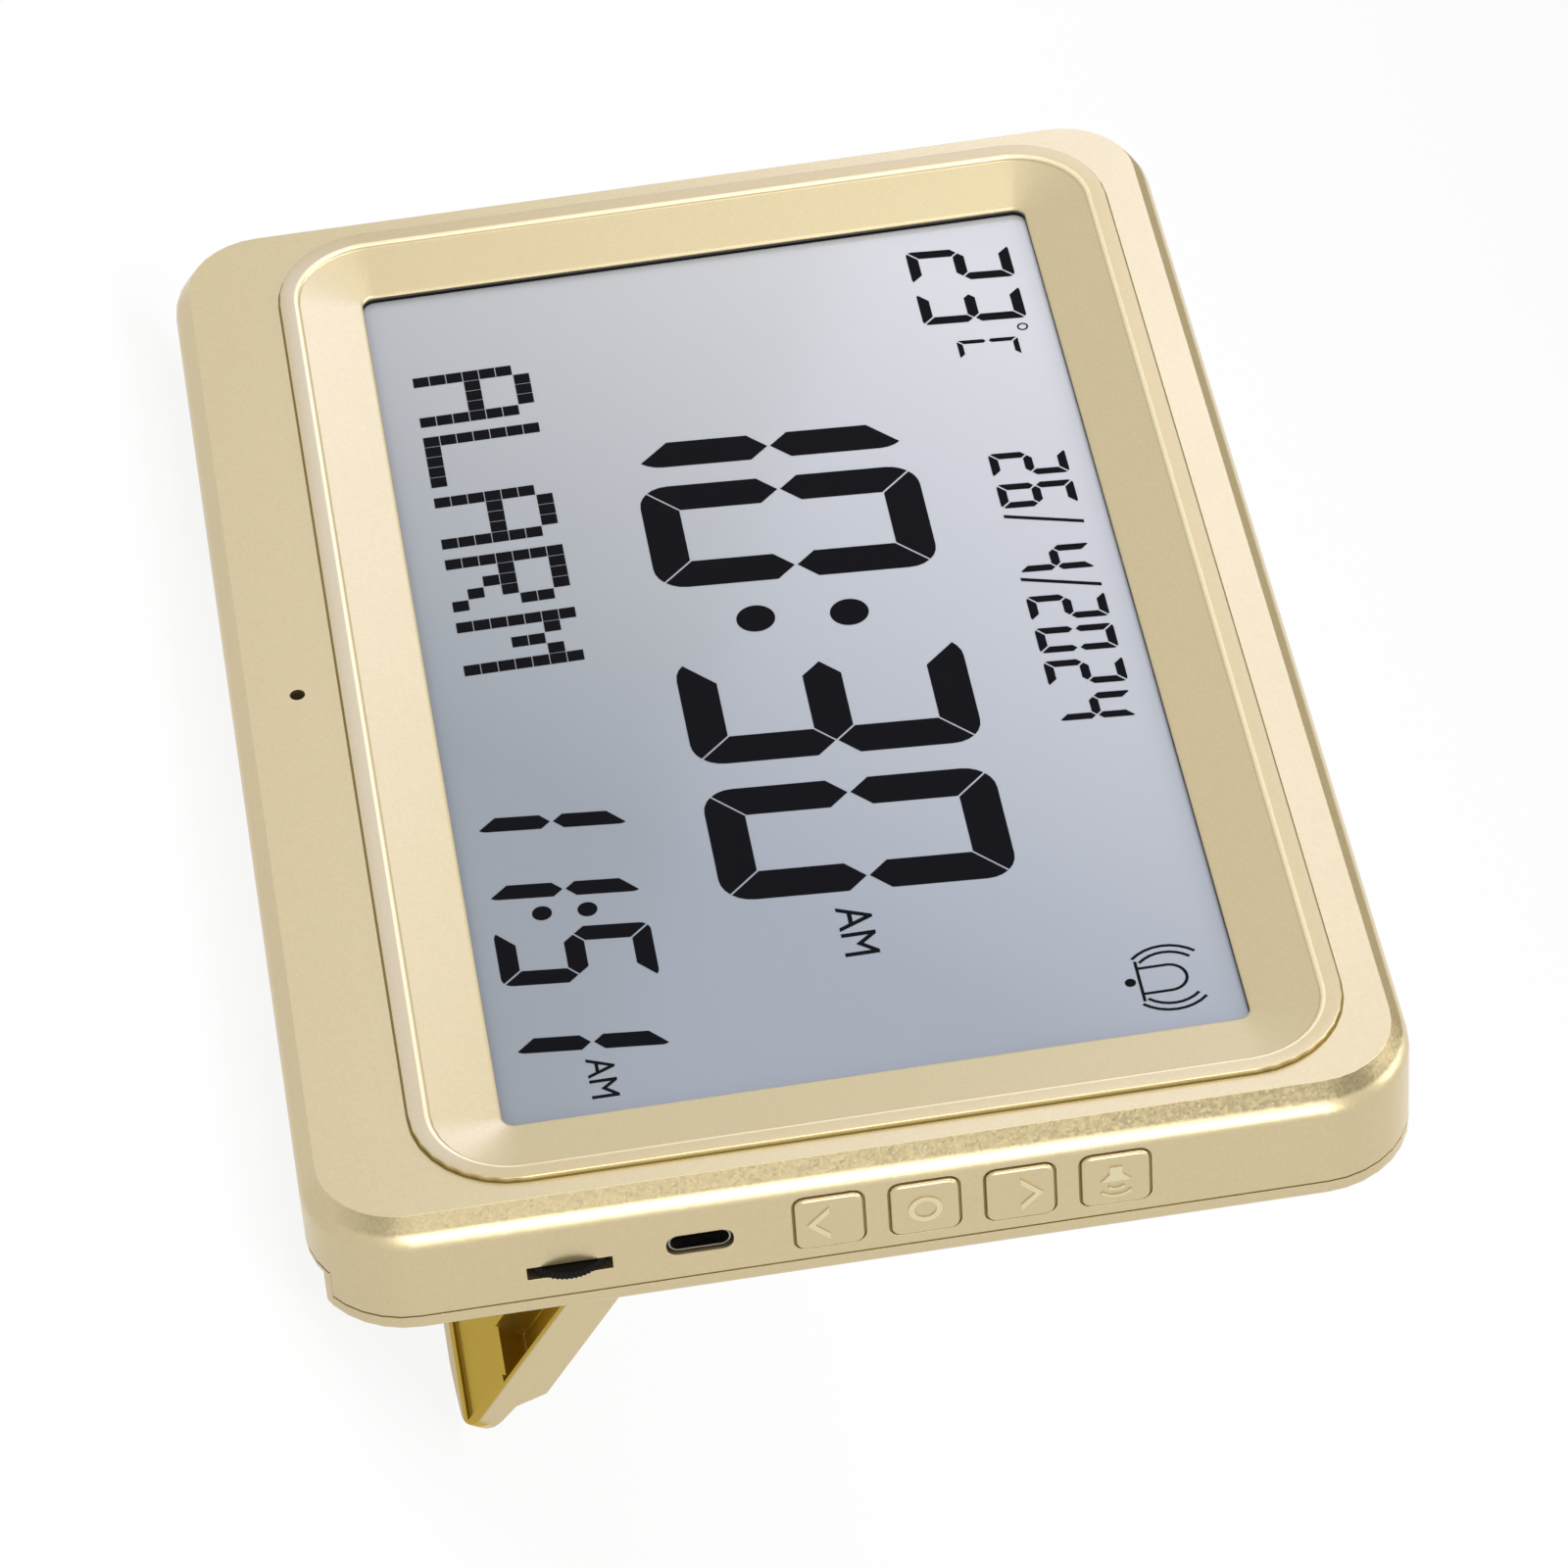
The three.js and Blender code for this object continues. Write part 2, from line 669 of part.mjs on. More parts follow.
// Volume wheel about its own axis: a knurled rim and a hub that reaches into the sensor
function volumeWheel() {
  const rim = [];
  for (let tooth = 0; tooth < wheelTeeth; tooth += 1) {
    for (const [turn, radius] of [[0, wheelRadius], [0.5, wheelRadius - wheelToothDepth]]) {
      const angle = ((tooth + turn) / wheelTeeth) * Math.PI * 2;
      rim.push(new THREE.Vector2(radius * Math.cos(angle), radius * Math.sin(angle)));
    }
  }
  const half = wheelThickness / 2;
  return join(plate(rim, -half, half), rodY(wheelHubRadius, -half - wheelHubLength, 0, 0, 0));
}

function volumeSensor() {
  const back = wheelCentreDepth - wheelThickness / 2 - gap;
  const half = sensorSize / 2;
  const outerSide = Math.min(wheelCentreX + half, halfWidth - wall - gap);
  const body = block(
    [wheelCentreX - half, outerSide], [back - sensorThickness, back],
    [wheelHeight - half, wheelHeight + half]);
  const floor = back - sensorThickness + gap;
  return cut(body, rodY(wheelHubRadius + gap, floor, back + overrun, wheelCentreX, wheelHeight));
}

// Light sensor with its small board
function lightSensor() {
  const front = frontThickness + gap;
  return rodY(lightSensorRadius, front, front + lightSensorLength, 0, pinholeHeight);
}

function sensorBoard() {
  const front = frontThickness + gap + lightSensorLength + gap;
  const half = sensorBoardHeight / 2;
  return block(
    [-sensorBoardWidth / 2, sensorBoardWidth / 2],
    [front, front + sensorBoardThickness],
    [pinholeHeight - half, pinholeHeight + half]);
}

// Loudspeaker: basket, cone and magnet, all turned round one axis
const speakerBack = coverInside - gap;
const basketFront = speakerBack - speakerDepth + speakerMagnetDepth;

function speakerBasket() {
  const waist = speakerMagnetRadius + speakerWall;
  const inner = speakerRadius - speakerFlangeWidth;
  const flangeFront = speakerBack - speakerFlangeThickness;
  return turned([
    [speakerCapRadius, basketFront],
    [waist, basketFront],
    [inner + speakerWall, flangeFront],
    [speakerRadius, flangeFront],
    [speakerRadius, speakerBack],
    [inner, speakerBack],
    [inner, flangeFront],
    [waist - speakerWall, basketFront + speakerWall],
    [speakerCapRadius, basketFront + speakerWall],
    [speakerCapRadius, basketFront],
  ], 0, speakerHeight);
}

function speakerCone() {
  const inner = speakerRadius - speakerFlangeWidth - gap;
  const back = speakerBack;
  const floor = back - speakerConeDepth;
  return turned([
    [0, floor],
    [speakerCapRadius, floor + gap],
    [inner, back - speakerWall],
    [inner, back],
    [speakerCapRadius, floor + speakerWall + gap],
    [0, floor + speakerWall + speakerWall],
  ], 0, speakerHeight);
}

function speakerMagnet() {
  const back = basketFront - gap;
  const front = back - speakerMagnetDepth + gap;
  return turned([
    [0, front],
    [speakerMagnetRadius, front],
    [speakerMagnetRadius, back],
    [0, back],
  ], 0, speakerHeight);
}

// Battery pack, a little below the middle between the foot hinges and the top
function batteryPack() {
  const bottom = (footHingeHeight + bodyHeight) / 2 - batteryDrop - batteryHeight / 2;
  const outline = roundedOutline(batteryWidth / 2, bottom, bottom + batteryHeight, batteryCornerRadius);
  const back = coverInside - gap;
  return plate(outline, back - batteryThickness, back).translate([-batterySide, 0, 0]);
}

// Back cover: rounded plate with a locating lip, foot pockets, screw bosses and the grille
function backCover() {
  const sections = [{ points: bodyOutline(0), depth: coverFront }];
  for (let step = 0; step <= rimSteps; step += 1) {
    const angle = (step / rimSteps) * Math.PI / 2;
    const inset = backEdgeRadius * (1 - Math.cos(angle));
    sections.push({ points: bodyOutline(inset), depth: bodyDepth - backEdgeRadius * (1 - Math.sin(angle)) });
  }
  const lipInset = wall + gap;
  const hollow = plate(bodyOutline(lipInset + lipThickness), coverFront - overrun, coverInside);
  const envelope = join(loft(sections), plate(bodyOutline(0), 0, coverFront));
  const shell = cut(loft(sections), hollow);
  const lip = bodyRing(lipInset, lipInset + lipThickness, coverFront - lipLength, coverInside);
  const pockets = [-1, 1].map((side) =>
    pocketBlock(side, pocketWall, pocketFloorFront, 0).intersect(envelope));
  const solid = join(shell, lip, ...pockets, ...coverBosses(), speakerRim());
  return cut(solid, ...pocketCuts(), ...coverScrewHoles(), ...grilleSlots(), buttonRelief());
}

function coverBosses() {
  return coverScrewPlaces().map(({ x, z }) =>
    rodY(coverBossRadius, coverBossDepth, bodyDepth - overrun, x, z));
}

function speakerRim() {
  const inner = speakerRadius + gap;
  const front = coverInside - speakerRimLength;
  const ring = rodY(inner + speakerRimWall, front, coverInside + overrun, 0, speakerHeight, speakerSteps);
  return cut(ring, rodY(inner, front - overrun, coverInside, 0, speakerHeight, speakerSteps));
}

function pocketCuts() {
  const pockets = [-1, 1].map((side) => pocketBlock(side, 0, pocketFloorTop, -overrun));
  const reach = footCentre + pocketHalf + pocketWall + overrun;
  const start = footCentre - pocketHalf - pocketWall - overrun;
  const bores = [[start, reach], [-reach, -start]].map(([x0, x1]) => rodX(
    footPinRadius + gap, x0, x1, hingeDepth, footHingeHeight, smallRodSteps));
  return [...pockets, ...bores];
}

function coverScrewHoles() {
  return coverScrewPlaces().flatMap(({ x, z }) => [
    rodY(coverScrewRadius + gap, coverBossDepth - overrun, bodyDepth, x, z, smallRodSteps),
    rodY(coverHeadRadius + gap, headFront() - gap, bodyDepth + overrun, x, z),
  ]);
}

function headFront() {
  return bodyDepth - coverHeadSink - coverHeadHeight;
}

function grilleSlots() {
  const rows = Math.floor(grilleRadius / grillePitch);
  const slots = [];
  for (let row = -rows; row <= rows; row += 1) {
    const offset = row * grillePitch;
    const half = Math.sqrt(grilleRadius ** 2 - offset ** 2);
    const bottom = speakerHeight + offset - grilleSlotWidth / 2;
    const outline = roundedOutline(
      half, bottom, bottom + grilleSlotWidth, grilleSlotWidth * slotEndShare, smallCornerSteps);
    slots.push(plate(outline, coverInside - overrun, bodyDepth + overrun));
  }
  return slots;
}

// The lip is cleared where the button flanges move
function buttonRelief() {
  const first = buttonPlaces[0].z - buttonHeight;
  const last = buttonPlaces.at(-1).z + buttonHeight;
  return block([halfWidth - wall - lipThickness - overrun, halfWidth - wall], [0, seamDepth], [first, last]);
}

function coverScrew(x, z) {
  const front = headFront();
  const shank = rodY(coverScrewRadius, coverScrewTip, front + overrun, x, z, smallRodSteps);
  return join(shank, rodY(coverHeadRadius, front, front + coverHeadHeight, x, z));
}

function boardScrew(x, z) {
  const tip = frontThickness + overrun + gap;
  const shank = rodY(boardScrewRadius, tip, onBoard + overrun, x, z, smallRodSteps);
  return join(shank, rodY(boardHeadRadius, onBoard, onBoard + boardHeadHeight, x, z, smallRodSteps));
}

// Folding foot about its own pin, folded: the leg runs towards -Z and its outer face looks towards +Y
function footProfile() {
  const point = (y, z) => new THREE.Vector2(y, z);
  const profile = [];
  for (let step = 0; step <= rimSteps; step += 1) {
    const angle = (step / rimSteps) * Math.PI / 2;
    profile.push(point(footBarrelRadius * Math.cos(angle), footBarrelRadius * Math.sin(angle)));
  }
  for (const side of [1, -1]) {
    const heel = new THREE.Vector2(-footInner, side * footHeelHalf);
    profile.push(heel.rotateAround(new THREE.Vector2(), -footOpenAngle));
  }
  profile.push(
    point(-footInner, 0),
    point(-footInner, -footLength - overrun),
    point(footBarrelRadius - footTipSink, -footLength - overrun),
    point(footBarrelRadius - footToeSink, -footLength + footToeLength),
    point(footBarrelRadius - footGripSink, -footLength + footGripLength - footGripRamp),
    point(footBarrelRadius, -footLength + footGripLength));
  return profile;
}

// Plan of the foot: straight sides, rounded corners and a slightly arched end
function footPlan() {
  const half = footWidth / 2;
  const side = footLength - footArch;
  const chord = half - footCornerRadius;
  const archRadius = (chord ** 2 + footArch ** 2) / (2 * footArch);
  const top = heelRadius + overrun;
  const points = [new THREE.Vector2(half, top), new THREE.Vector2(-half, top)];
  const cornerPoint = (middle, angle) => new THREE.Vector2(
    middle + footCornerRadius * Math.cos(angle),
    -side + footCornerRadius + footCornerRadius * Math.sin(angle));
  for (let step = 0; step <= cornerSteps; step += 1) {
    points.push(cornerPoint(-chord, (1 + step / cornerSteps / 2) * Math.PI));
  }
  for (let step = 1; step < archSteps; step += 1) {
    const x = chord * (2 * step / archSteps - 1);
    points.push(new THREE.Vector2(x, -side - Math.sqrt(archRadius ** 2 - x ** 2) + archRadius - footArch));
  }
  for (let step = cornerSteps; step >= 0; step -= 1) {
    points.push(cornerPoint(chord, (2 - step / cornerSteps / 2) * Math.PI));
  }
  return points;
}

// The desk under the open foot, seen from the folded foot's own frame
function deskUnderFoot() {
  const up = new THREE.Vector3(0, -Math.sin(leanAngle), Math.cos(leanAngle));
  const edge = new THREE.Vector3(0, bodyDepth - backEdgeRadius, backEdgeRadius);
  edge.addScaledVector(up, -backEdgeRadius);
  const place = new THREE.Matrix4().makeRotationX(-footOpenAngle)
    .multiply(new THREE.Matrix4().makeTranslation(0, edge.y - hingeDepth, edge.z - footHingeHeight))
    .multiply(new THREE.Matrix4().makeRotationX(leanAngle));
  const size = footLength * 4;
  return solidOf(new THREE.BoxGeometry(size, size, size).translate(0, 0, -size / 2).applyMatrix4(place));
}

function foldingFoot() {
  const half = footWidth / 2;
  const leg = prismX(footProfile(), -half, half).intersect(
    plate(footPlan(), -footInner - overrun, footBarrelRadius + overrun));
  const pitch = (footWidth - footSideWall) / footPocketCount;
  const ledgeTop = -footLength + footLedgeLength;
  const pockets = [];
  for (let i = 0; i < footPocketCount; i += 1) {
    const start = -half + footSideWall + i * pitch;
    pockets.push(block(
      [start, start + pitch - footSideWall],
      [-footInner - overrun, footBarrelRadius - footSkin],
      [ledgeTop, -footWebLength]));
  }
  const ledgeEnd = -footLength + footArch + footRimWall;
  const ledge = block(
    [-half + footSideWall + footRimWall, half - footSideWall - footRimWall],
    [-footInner - overrun, -footInner + footLedgeSink],
    [ledgeEnd, ledgeTop]);
  const bore = rodX(footPinRadius + gap, -half - overrun, half + overrun, 0, 0, smallRodSteps);
  return cut(leg, ...pockets, ledge, bore, deskUnderFoot());
}

function footPin() {
  const reach = pocketHalf + pocketWall - gap;
  return rodX(footPinRadius, -reach, reach, 0, 0, smallRodSteps);
}

// A group that carries meshes at a place in the body
function placed(x, y, z, ...meshes) {
  const group = new THREE.Group();
  group.position.set(x, y, z);
  group.add(...meshes);
  return group;
}

function screenParts() {
  return [
    namedMesh('bezel_ring', bezelRing(), 'gold'),
    namedMesh('lcd_panel', lcdPanel(), 'glass'),
    namedMesh('light_guide', lightGuide(), 'clear'),
    namedMesh('display_holder', displayHolder(), 'white'),
    namedMesh('lcd_contact_strip', stripSlot(0, glassBack + gap, boardDepth - gap), 'rubber'),
  ];
}

function boardParts() {
  const screws = boardScrewPlaces().map(({ x, z }, i) =>
    namedMesh(`board_screw_${i + 1}`, boardScrew(x, z), 'steel'));
  const switches = buttonPlaces.map(({ name, z }) => namedMesh(`${name}_switch`, tactSwitch(z), 'black'));
  return [
    namedMesh('main_board', mainBoard(), 'board'),
    namedMesh('control_chip', boardChip(chipSize, chipSize, 0, chipHeight), 'black'),
    namedMesh('memory_chip', boardChip(memoryWidth, memoryHeight, memorySide, chipHeight), 'black'),
    namedMesh('crystal_can', crystalCan(), 'steel'),
    namedMesh('thermistor', thermistorBead(), 'black'),
    namedMesh('usb_socket_shell', socketShell(), 'steel'),
    namedMesh('usb_socket_tongue', socketTongue(), 'black'),
    namedMesh('volume_sensor', volumeSensor(), 'black'),
    namedMesh('light_sensor', lightSensor(), 'black'),
    namedMesh('light_sensor_board', sensorBoard(), 'board'),
    ...switches,
    ...screws,
  ];
}

function soundAndPower() {
  return [
    namedMesh('speaker_basket', speakerBasket(), 'steel'),
    namedMesh('speaker_cone', speakerCone(), 'paper'),
    namedMesh('speaker_magnet', speakerMagnet(), 'ferrite'),
    namedMesh('battery_pack', batteryPack(), 'foil'),
  ];
}

function buttons() {
  return buttonPlaces.map(({ name, z }) => {
    const group = placed(halfWidth, buttonCentreDepth, z, namedMesh(`${name}_button`, sideButton(), 'gold'));
    group.rotation.z = Math.PI / 2;
    return group;
  });
}

function feet() {
  return [['left', -1], ['right', 1]].flatMap(([name, side]) => {
    const x = side * footCentre;
    const foot = placed(x, hingeDepth, footHingeHeight, namedMesh(`${name}_foot`, foldingFoot(), 'gold'));
    foot.rotation.x = footOpenAngle;
    const pin = placed(x, hingeDepth, footHingeHeight, namedMesh(`${name}_foot_pin`, footPin(), 'steel'));
    return [foot, pin];
  });
}

function clock() {
  const body = new THREE.Group();
  body.add(namedMesh('front_housing', frontHousing(), 'gold'));
  body.add(namedMesh('back_cover', backCover(), 'gold'));
  body.add(...screenParts(), ...boardParts(), ...soundAndPower(), ...buttons(), ...feet());
  const wheel = namedMesh('volume_wheel', volumeWheel(), 'rubber');
  body.add(placed(wheelCentreX, wheelCentreDepth, wheelHeight, wheel));
  coverScrewPlaces().forEach(({ x, z }, i) => {
    body.add(namedMesh(`back_screw_${i + 1}`, coverScrew(x, z), 'steel'));
  });
  body.rotation.x = -leanAngle;
  return body;
}

// The clock stands with its box centred over the origin and its lowest point at zero
const azanClock = new THREE.Group();
azanClock.add(clock());
azanClock.updateMatrixWorld(true);
const box = new THREE.Box3().setFromObject(azanClock, true);
const centre = box.getCenter(new THREE.Vector3());
azanClock.position.set(-centre.x, -centre.y, -box.min.z);

export default azanClock;
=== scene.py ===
# %% [markdown]
# An azan clock on its folding feet. The solids of the clock arrive as a fixed frame, and this
# lesson dresses them: paint with metal flakes, a liquid-crystal screen, raised marks on the
# buttons, screws with cross recesses, a speaker cloth, soft light and a camera.
# Every length is in metres.

# %% Load the frame
import json
import math

import bmesh
import bpy
from mathutils import Matrix, Vector


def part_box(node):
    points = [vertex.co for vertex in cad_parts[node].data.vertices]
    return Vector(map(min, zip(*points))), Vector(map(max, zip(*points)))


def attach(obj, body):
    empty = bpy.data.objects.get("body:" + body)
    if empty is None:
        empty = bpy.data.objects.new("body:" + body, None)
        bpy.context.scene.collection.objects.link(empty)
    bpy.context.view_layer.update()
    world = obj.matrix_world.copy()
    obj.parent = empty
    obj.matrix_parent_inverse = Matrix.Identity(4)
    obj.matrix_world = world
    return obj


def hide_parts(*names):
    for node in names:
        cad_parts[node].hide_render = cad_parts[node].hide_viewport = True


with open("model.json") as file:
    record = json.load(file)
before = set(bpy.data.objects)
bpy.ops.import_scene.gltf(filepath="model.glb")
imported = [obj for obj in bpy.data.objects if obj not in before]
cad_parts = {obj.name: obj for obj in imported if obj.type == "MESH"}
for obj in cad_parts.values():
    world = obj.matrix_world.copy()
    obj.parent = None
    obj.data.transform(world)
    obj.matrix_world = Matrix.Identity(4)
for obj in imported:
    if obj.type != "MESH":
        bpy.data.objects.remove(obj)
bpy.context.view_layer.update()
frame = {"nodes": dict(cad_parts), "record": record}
NODES = frame["nodes"]
print("CAD nodes:", len(NODES))

# %% [markdown]
# The body of the clock leans back, so its parts are easier to place in its own frame: x to the
# right, y from the front to the back, z up along the screen. The light guide is a plain plate
# whose middle is known in that frame, so its box gives the place of the whole body.

# %% The body's own frame
LEAN = math.radians(27.3)
GUIDE_MIDDLE = Vector((0, 0.0072, 0.0831))


def body_matrix():
    turn = Matrix.Rotation(-LEAN, 4, "X")
    low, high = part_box("light_guide")
    return Matrix.Translation((low + high) / 2 - turn @ GUIDE_MIDDLE) @ turn


BODY = body_matrix()
print("body origin:", tuple(round(value, 4) for value in BODY.translation))

# %% [markdown]
# The photograph was taken from the clock's right-hand side with a long lens, and the picture is
# rolled so that the top of the clock points to the right. The camera's place and its two picture
# directions are written in the body's frame, where they were solved.

# %% Camera
CAMERA_PLACE = Vector((0.7886, -0.7146, 0.0032))
PICTURE_RIGHT = Vector((0.14984, 0.05404, 0.98723))
PICTURE_UP = Vector((-0.67325, -0.72567, 0.14191))
SENSOR_WIDTH = 36
LENS = 163.1
CLIP_NEAR = 0.05
CLIP_FAR = 20


def new_object(name, data):
    made = bpy.data.objects.new(name, data)
    bpy.context.scene.collection.objects.link(made)
    return made


def set_all(target, **values):
    for name, value in values.items():
        setattr(target, name, value)


def make_camera():
    data = bpy.data.cameras.new("camera")
    set_all(data, sensor_width=SENSOR_WIDTH, lens=LENS, clip_start=CLIP_NEAR, clip_end=CLIP_FAR)
    camera = new_object("camera", data)
    axes = Matrix((PICTURE_RIGHT, PICTURE_UP, PICTURE_RIGHT.cross(PICTURE_UP))).transposed()
    camera.matrix_world = BODY @ Matrix.Translation(CAMERA_PLACE) @ axes.to_4x4()
    bpy.context.scene.camera = camera
    return camera


camera = make_camera()
print("camera at", tuple(round(value, 3) for value in camera.matrix_world.translation))

# %% [markdown]
# Materials start from one helper that makes a Principled BSDF and sets its plain values straight
# on the shader's sockets. More helpers add nodes and wire them together with few words.

# %% Helpers for materials


def new_material(name, **values):
    material = bpy.data.materials.new(name)
    material.use_nodes = True
    shader = material.node_tree.nodes["Principled BSDF"]
    for socket, value in values.items():
        shader.inputs[socket.replace("_", " ")].default_value = value
    return material, material.node_tree, shader


def feed(tree, socket, value):
    if isinstance(value, bpy.types.NodeSocket):
        tree.links.new(value, socket)
    else:
        socket.default_value = value


def feed_all(tree, node, inputs):
    for socket, value in inputs.items():
        feed(tree, node.inputs[socket.replace("_", " ")], value)
    return node


def add_node(tree, kind, **inputs):
    return feed_all(tree, tree.nodes.new(kind), inputs)


def operate(tree, kind, operation, first, second):
    node = tree.nodes.new(kind)
    node.operation = operation
    feed(tree, node.inputs[0], first)
    feed(tree, node.inputs[1], second)
    return node.outputs


def math_node(tree, operation, first, second=0.0):
    return operate(tree, "ShaderNodeMath", operation, first, second)[0]


def vector_node(tree, operation, first, second=(0, 0, 0)):
    outputs = operate(tree, "ShaderNodeVectorMath", operation, first, second)
    return outputs[0] if outputs[0].enabled else outputs["Value"]


def remap(tree, value, low, high, to_low=0.0, to_high=1.0):
    return add_node(
        tree, "ShaderNodeMapRange", Value=value, From_Min=low, From_Max=high, To_Min=to_low, To_Max=to_high
    ).outputs["Result"]


def mix_colour(tree, amount, first, second):
    node = tree.nodes.new("ShaderNodeMix")
    node.data_type = "RGBA"
    return feed_all(tree, node, {"Factor": amount, "A": first, "B": second}).outputs["Result"]


def object_place(tree):
    return tree.nodes.new("ShaderNodeTexCoord").outputs["Object"]


def place_in(tree, own_frame):
    """Object coordinates turned into another frame, as three separate numbers."""
    inverse = own_frame.inverted()
    turned = add_node(
        tree, "ShaderNodeMapping", Vector=object_place(tree), Location=inverse.translation,
        Rotation=inverse.to_euler(),
    )
    return add_node(tree, "ShaderNodeSeparateXYZ", Vector=turned.outputs["Vector"]).outputs


def between(tree, value, low, high, blur):
    """One where a value lies between two limits, with soft ends."""
    rise = remap(tree, value, low - blur, low)
    fall = remap(tree, value, high, high + blur, 1.0, 0.0)
    return math_node(tree, "MULTIPLY", rise, fall)


def by_mask(tree, mask, outside, inside):
    """One value outside a mask and another inside it."""
    return remap(tree, mask, 0.0, 1.0, outside, inside)


def new_group(name, inputs, outputs):
    group = bpy.data.node_groups.new(name, "ShaderNodeTree")
    for direction, sockets in (("INPUT", inputs), ("OUTPUT", outputs)):
        for title, kind in sockets.items():
            group.interface.new_socket(title, in_out=direction, socket_type=f"NodeSocket{kind}")
    return group, group.nodes.new("NodeGroupInput").outputs, group.nodes.new("NodeGroupOutput").inputs


def place_group(tree, group, **inputs):
    node = tree.nodes.new("ShaderNodeGroup")
    node.node_tree = group
    return feed_all(tree, node, inputs).outputs


print("material helpers ready")

# %% [markdown]
# Metallic paint is a clear binder full of tiny flat flakes. Each flake lies at its own small
# angle, so under a soft light one shines while its neighbour doesn't. Voronoi cells stand for the
# flakes: the random colour of a cell tilts the surface normal and shades the paint a little. A
# group holds this, because every painted piece uses it at its own strength.

# %% Flake group
MEAN_CELL_COLOUR = (0.5, 0.5, 0.5)
FLAKE_INPUTS = {
    "Vector": "Vector", "Flake Size": "Float", "Tilt": "Float", "Colour": "Color", "Shade": "Float"
}
FLAKE_OUTPUTS = {"Colour": "Color", "Normal": "Vector"}


def flake_group():
    group, given, result = new_group("paint_flakes", FLAKE_INPUTS, FLAKE_OUTPUTS)
    scale = math_node(group, "DIVIDE", 1.0, given["Flake Size"])
    cells = add_node(group, "ShaderNodeTexVoronoi", Vector=given["Vector"], Scale=scale)
    centred = vector_node(group, "SUBTRACT", cells.outputs["Color"], MEAN_CELL_COLOUR)
    tilt = add_node(group, "ShaderNodeVectorMath")
    tilt.operation = "SCALE"
    feed(group, tilt.inputs[0], centred)
    feed(group, tilt.inputs["Scale"], given["Tilt"])
    surface = group.nodes.new("ShaderNodeNewGeometry").outputs["Normal"]
    tilted = vector_node(group, "NORMALIZE", vector_node(group, "ADD", surface, tilt.outputs[0]))
    flake = add_node(group, "ShaderNodeSeparateColor", Color=cells.outputs["Color"]).outputs["Green"]
    darker = math_node(group, "MULTIPLY", given["Shade"], flake)
    level = math_node(group, "SUBTRACT", 1.0, darker)
    shaded = vector_node(group, "MULTIPLY", given["Colour"], level)
    feed(group, result["Colour"], shaded)
    feed(group, result["Normal"], tilted)
    return group


FLAKES = flake_group()
print("flake group:", FLAKES.name)

# %% [markdown]
# Handling leaves a plastic shell a little uneven in gloss. A slow noise with finer layers on top
# moves the roughness by a small amount. The same group serves the paint, the steel and the
# plastics.

# %% Uneven gloss group
PATCH_DETAIL = 3.0
UNEVEN_INPUTS = {"Vector": "Vector", "Patch Size": "Float", "Low": "Float", "High": "Float"}
UNEVEN_OUTPUTS = {"Roughness": "Float", "Patch": "Float"}


def uneven_group():
    group, given, result = new_group("uneven_gloss", UNEVEN_INPUTS, UNEVEN_OUTPUTS)
    scale = math_node(group, "DIVIDE", 1.0, given["Patch Size"])
    patches = add_node(
        group, "ShaderNodeTexNoise", Vector=given["Vector"], Scale=scale, Detail=PATCH_DETAIL
    )
    span = math_node(group, "SUBTRACT", given["High"], given["Low"])
    rise = math_node(group, "MULTIPLY", patches.outputs["Fac"], span)
    feed(group, result["Roughness"], math_node(group, "ADD", given["Low"], rise))
    feed(group, result["Patch"], patches.outputs["Fac"])
    return group


UNEVEN = uneven_group()
print("gloss group:", UNEVEN.name)

# %% [markdown]
# The champagne paint is a metal-rich lacquer with a thin clear coat, and its flakes lie flat. One
# function makes it, and its tone may be a plain colour or a mix that is built in the material.

# %% Champagne paint
CHAMPAGNE = (0.54, 0.432, 0.218, 1)
# The marks on the buttons are paler: a painted highlight on their raised faces.
MARK_PAINTED_HIGHLIGHT = (0.66, 0.57, 0.33, 1)
PAINT_METAL = 0.85
PAINT_COAT = 0.9
PAINT_COAT_IOR = 2.0
PAINT_COAT_ROUGHNESS = 0.26
PAINT_RIM_TINT = (1.0, 0.86, 0.58, 1)
EVEN_TILT = 0.035
PAINT_PATCH = 0.03
GLOSS_BELOW = 0.02
GLOSS_ABOVE = 0.04


def paint(name, tone, flake_size, shade, roughness):
    material, tree, shader = new_material(
        name, Metallic=PAINT_METAL, Coat_Weight=PAINT_COAT, Coat_Roughness=PAINT_COAT_ROUGHNESS,
        Coat_IOR=PAINT_COAT_IOR, Specular_Tint=PAINT_RIM_TINT,
    )
    place = object_place(tree)
    colour = tone(tree) if callable(tone) else tone
    flakes = place_group(
        tree, FLAKES, Vector=place, Flake_Size=flake_size, Tilt=EVEN_TILT, Colour=colour, Shade=shade
    )
    gloss = place_group(
        tree, UNEVEN, Vector=place, Patch_Size=PAINT_PATCH, Low=roughness - GLOSS_BELOW,
        High=roughness + GLOSS_ABOVE,
    )
    feed(tree, shader.inputs["Base Color"], flakes["Colour"])
    feed(tree, shader.inputs["Normal"], flakes["Normal"])
    feed(tree, shader.inputs["Roughness"], gloss["Roughness"])
    return material


def parts_of(material):
    """The tree of a paint, its shader and its flake node."""
    tree = material.node_tree
    flakes = next(node for node in tree.nodes if node.type == "GROUP" and node.node_tree == FLAKES)
    return tree, tree.nodes["Principled BSDF"], flakes


button_paint = paint("button_paint", CHAMPAGNE, flake_size=0.0002, shade=0.05, roughness=0.33)
mark_highlight_paint = paint("mark_highlight_paint", MARK_PAINTED_HIGHLIGHT, flake_size=0.0002, shade=0.04, roughness=0.3)
print("paints ready")
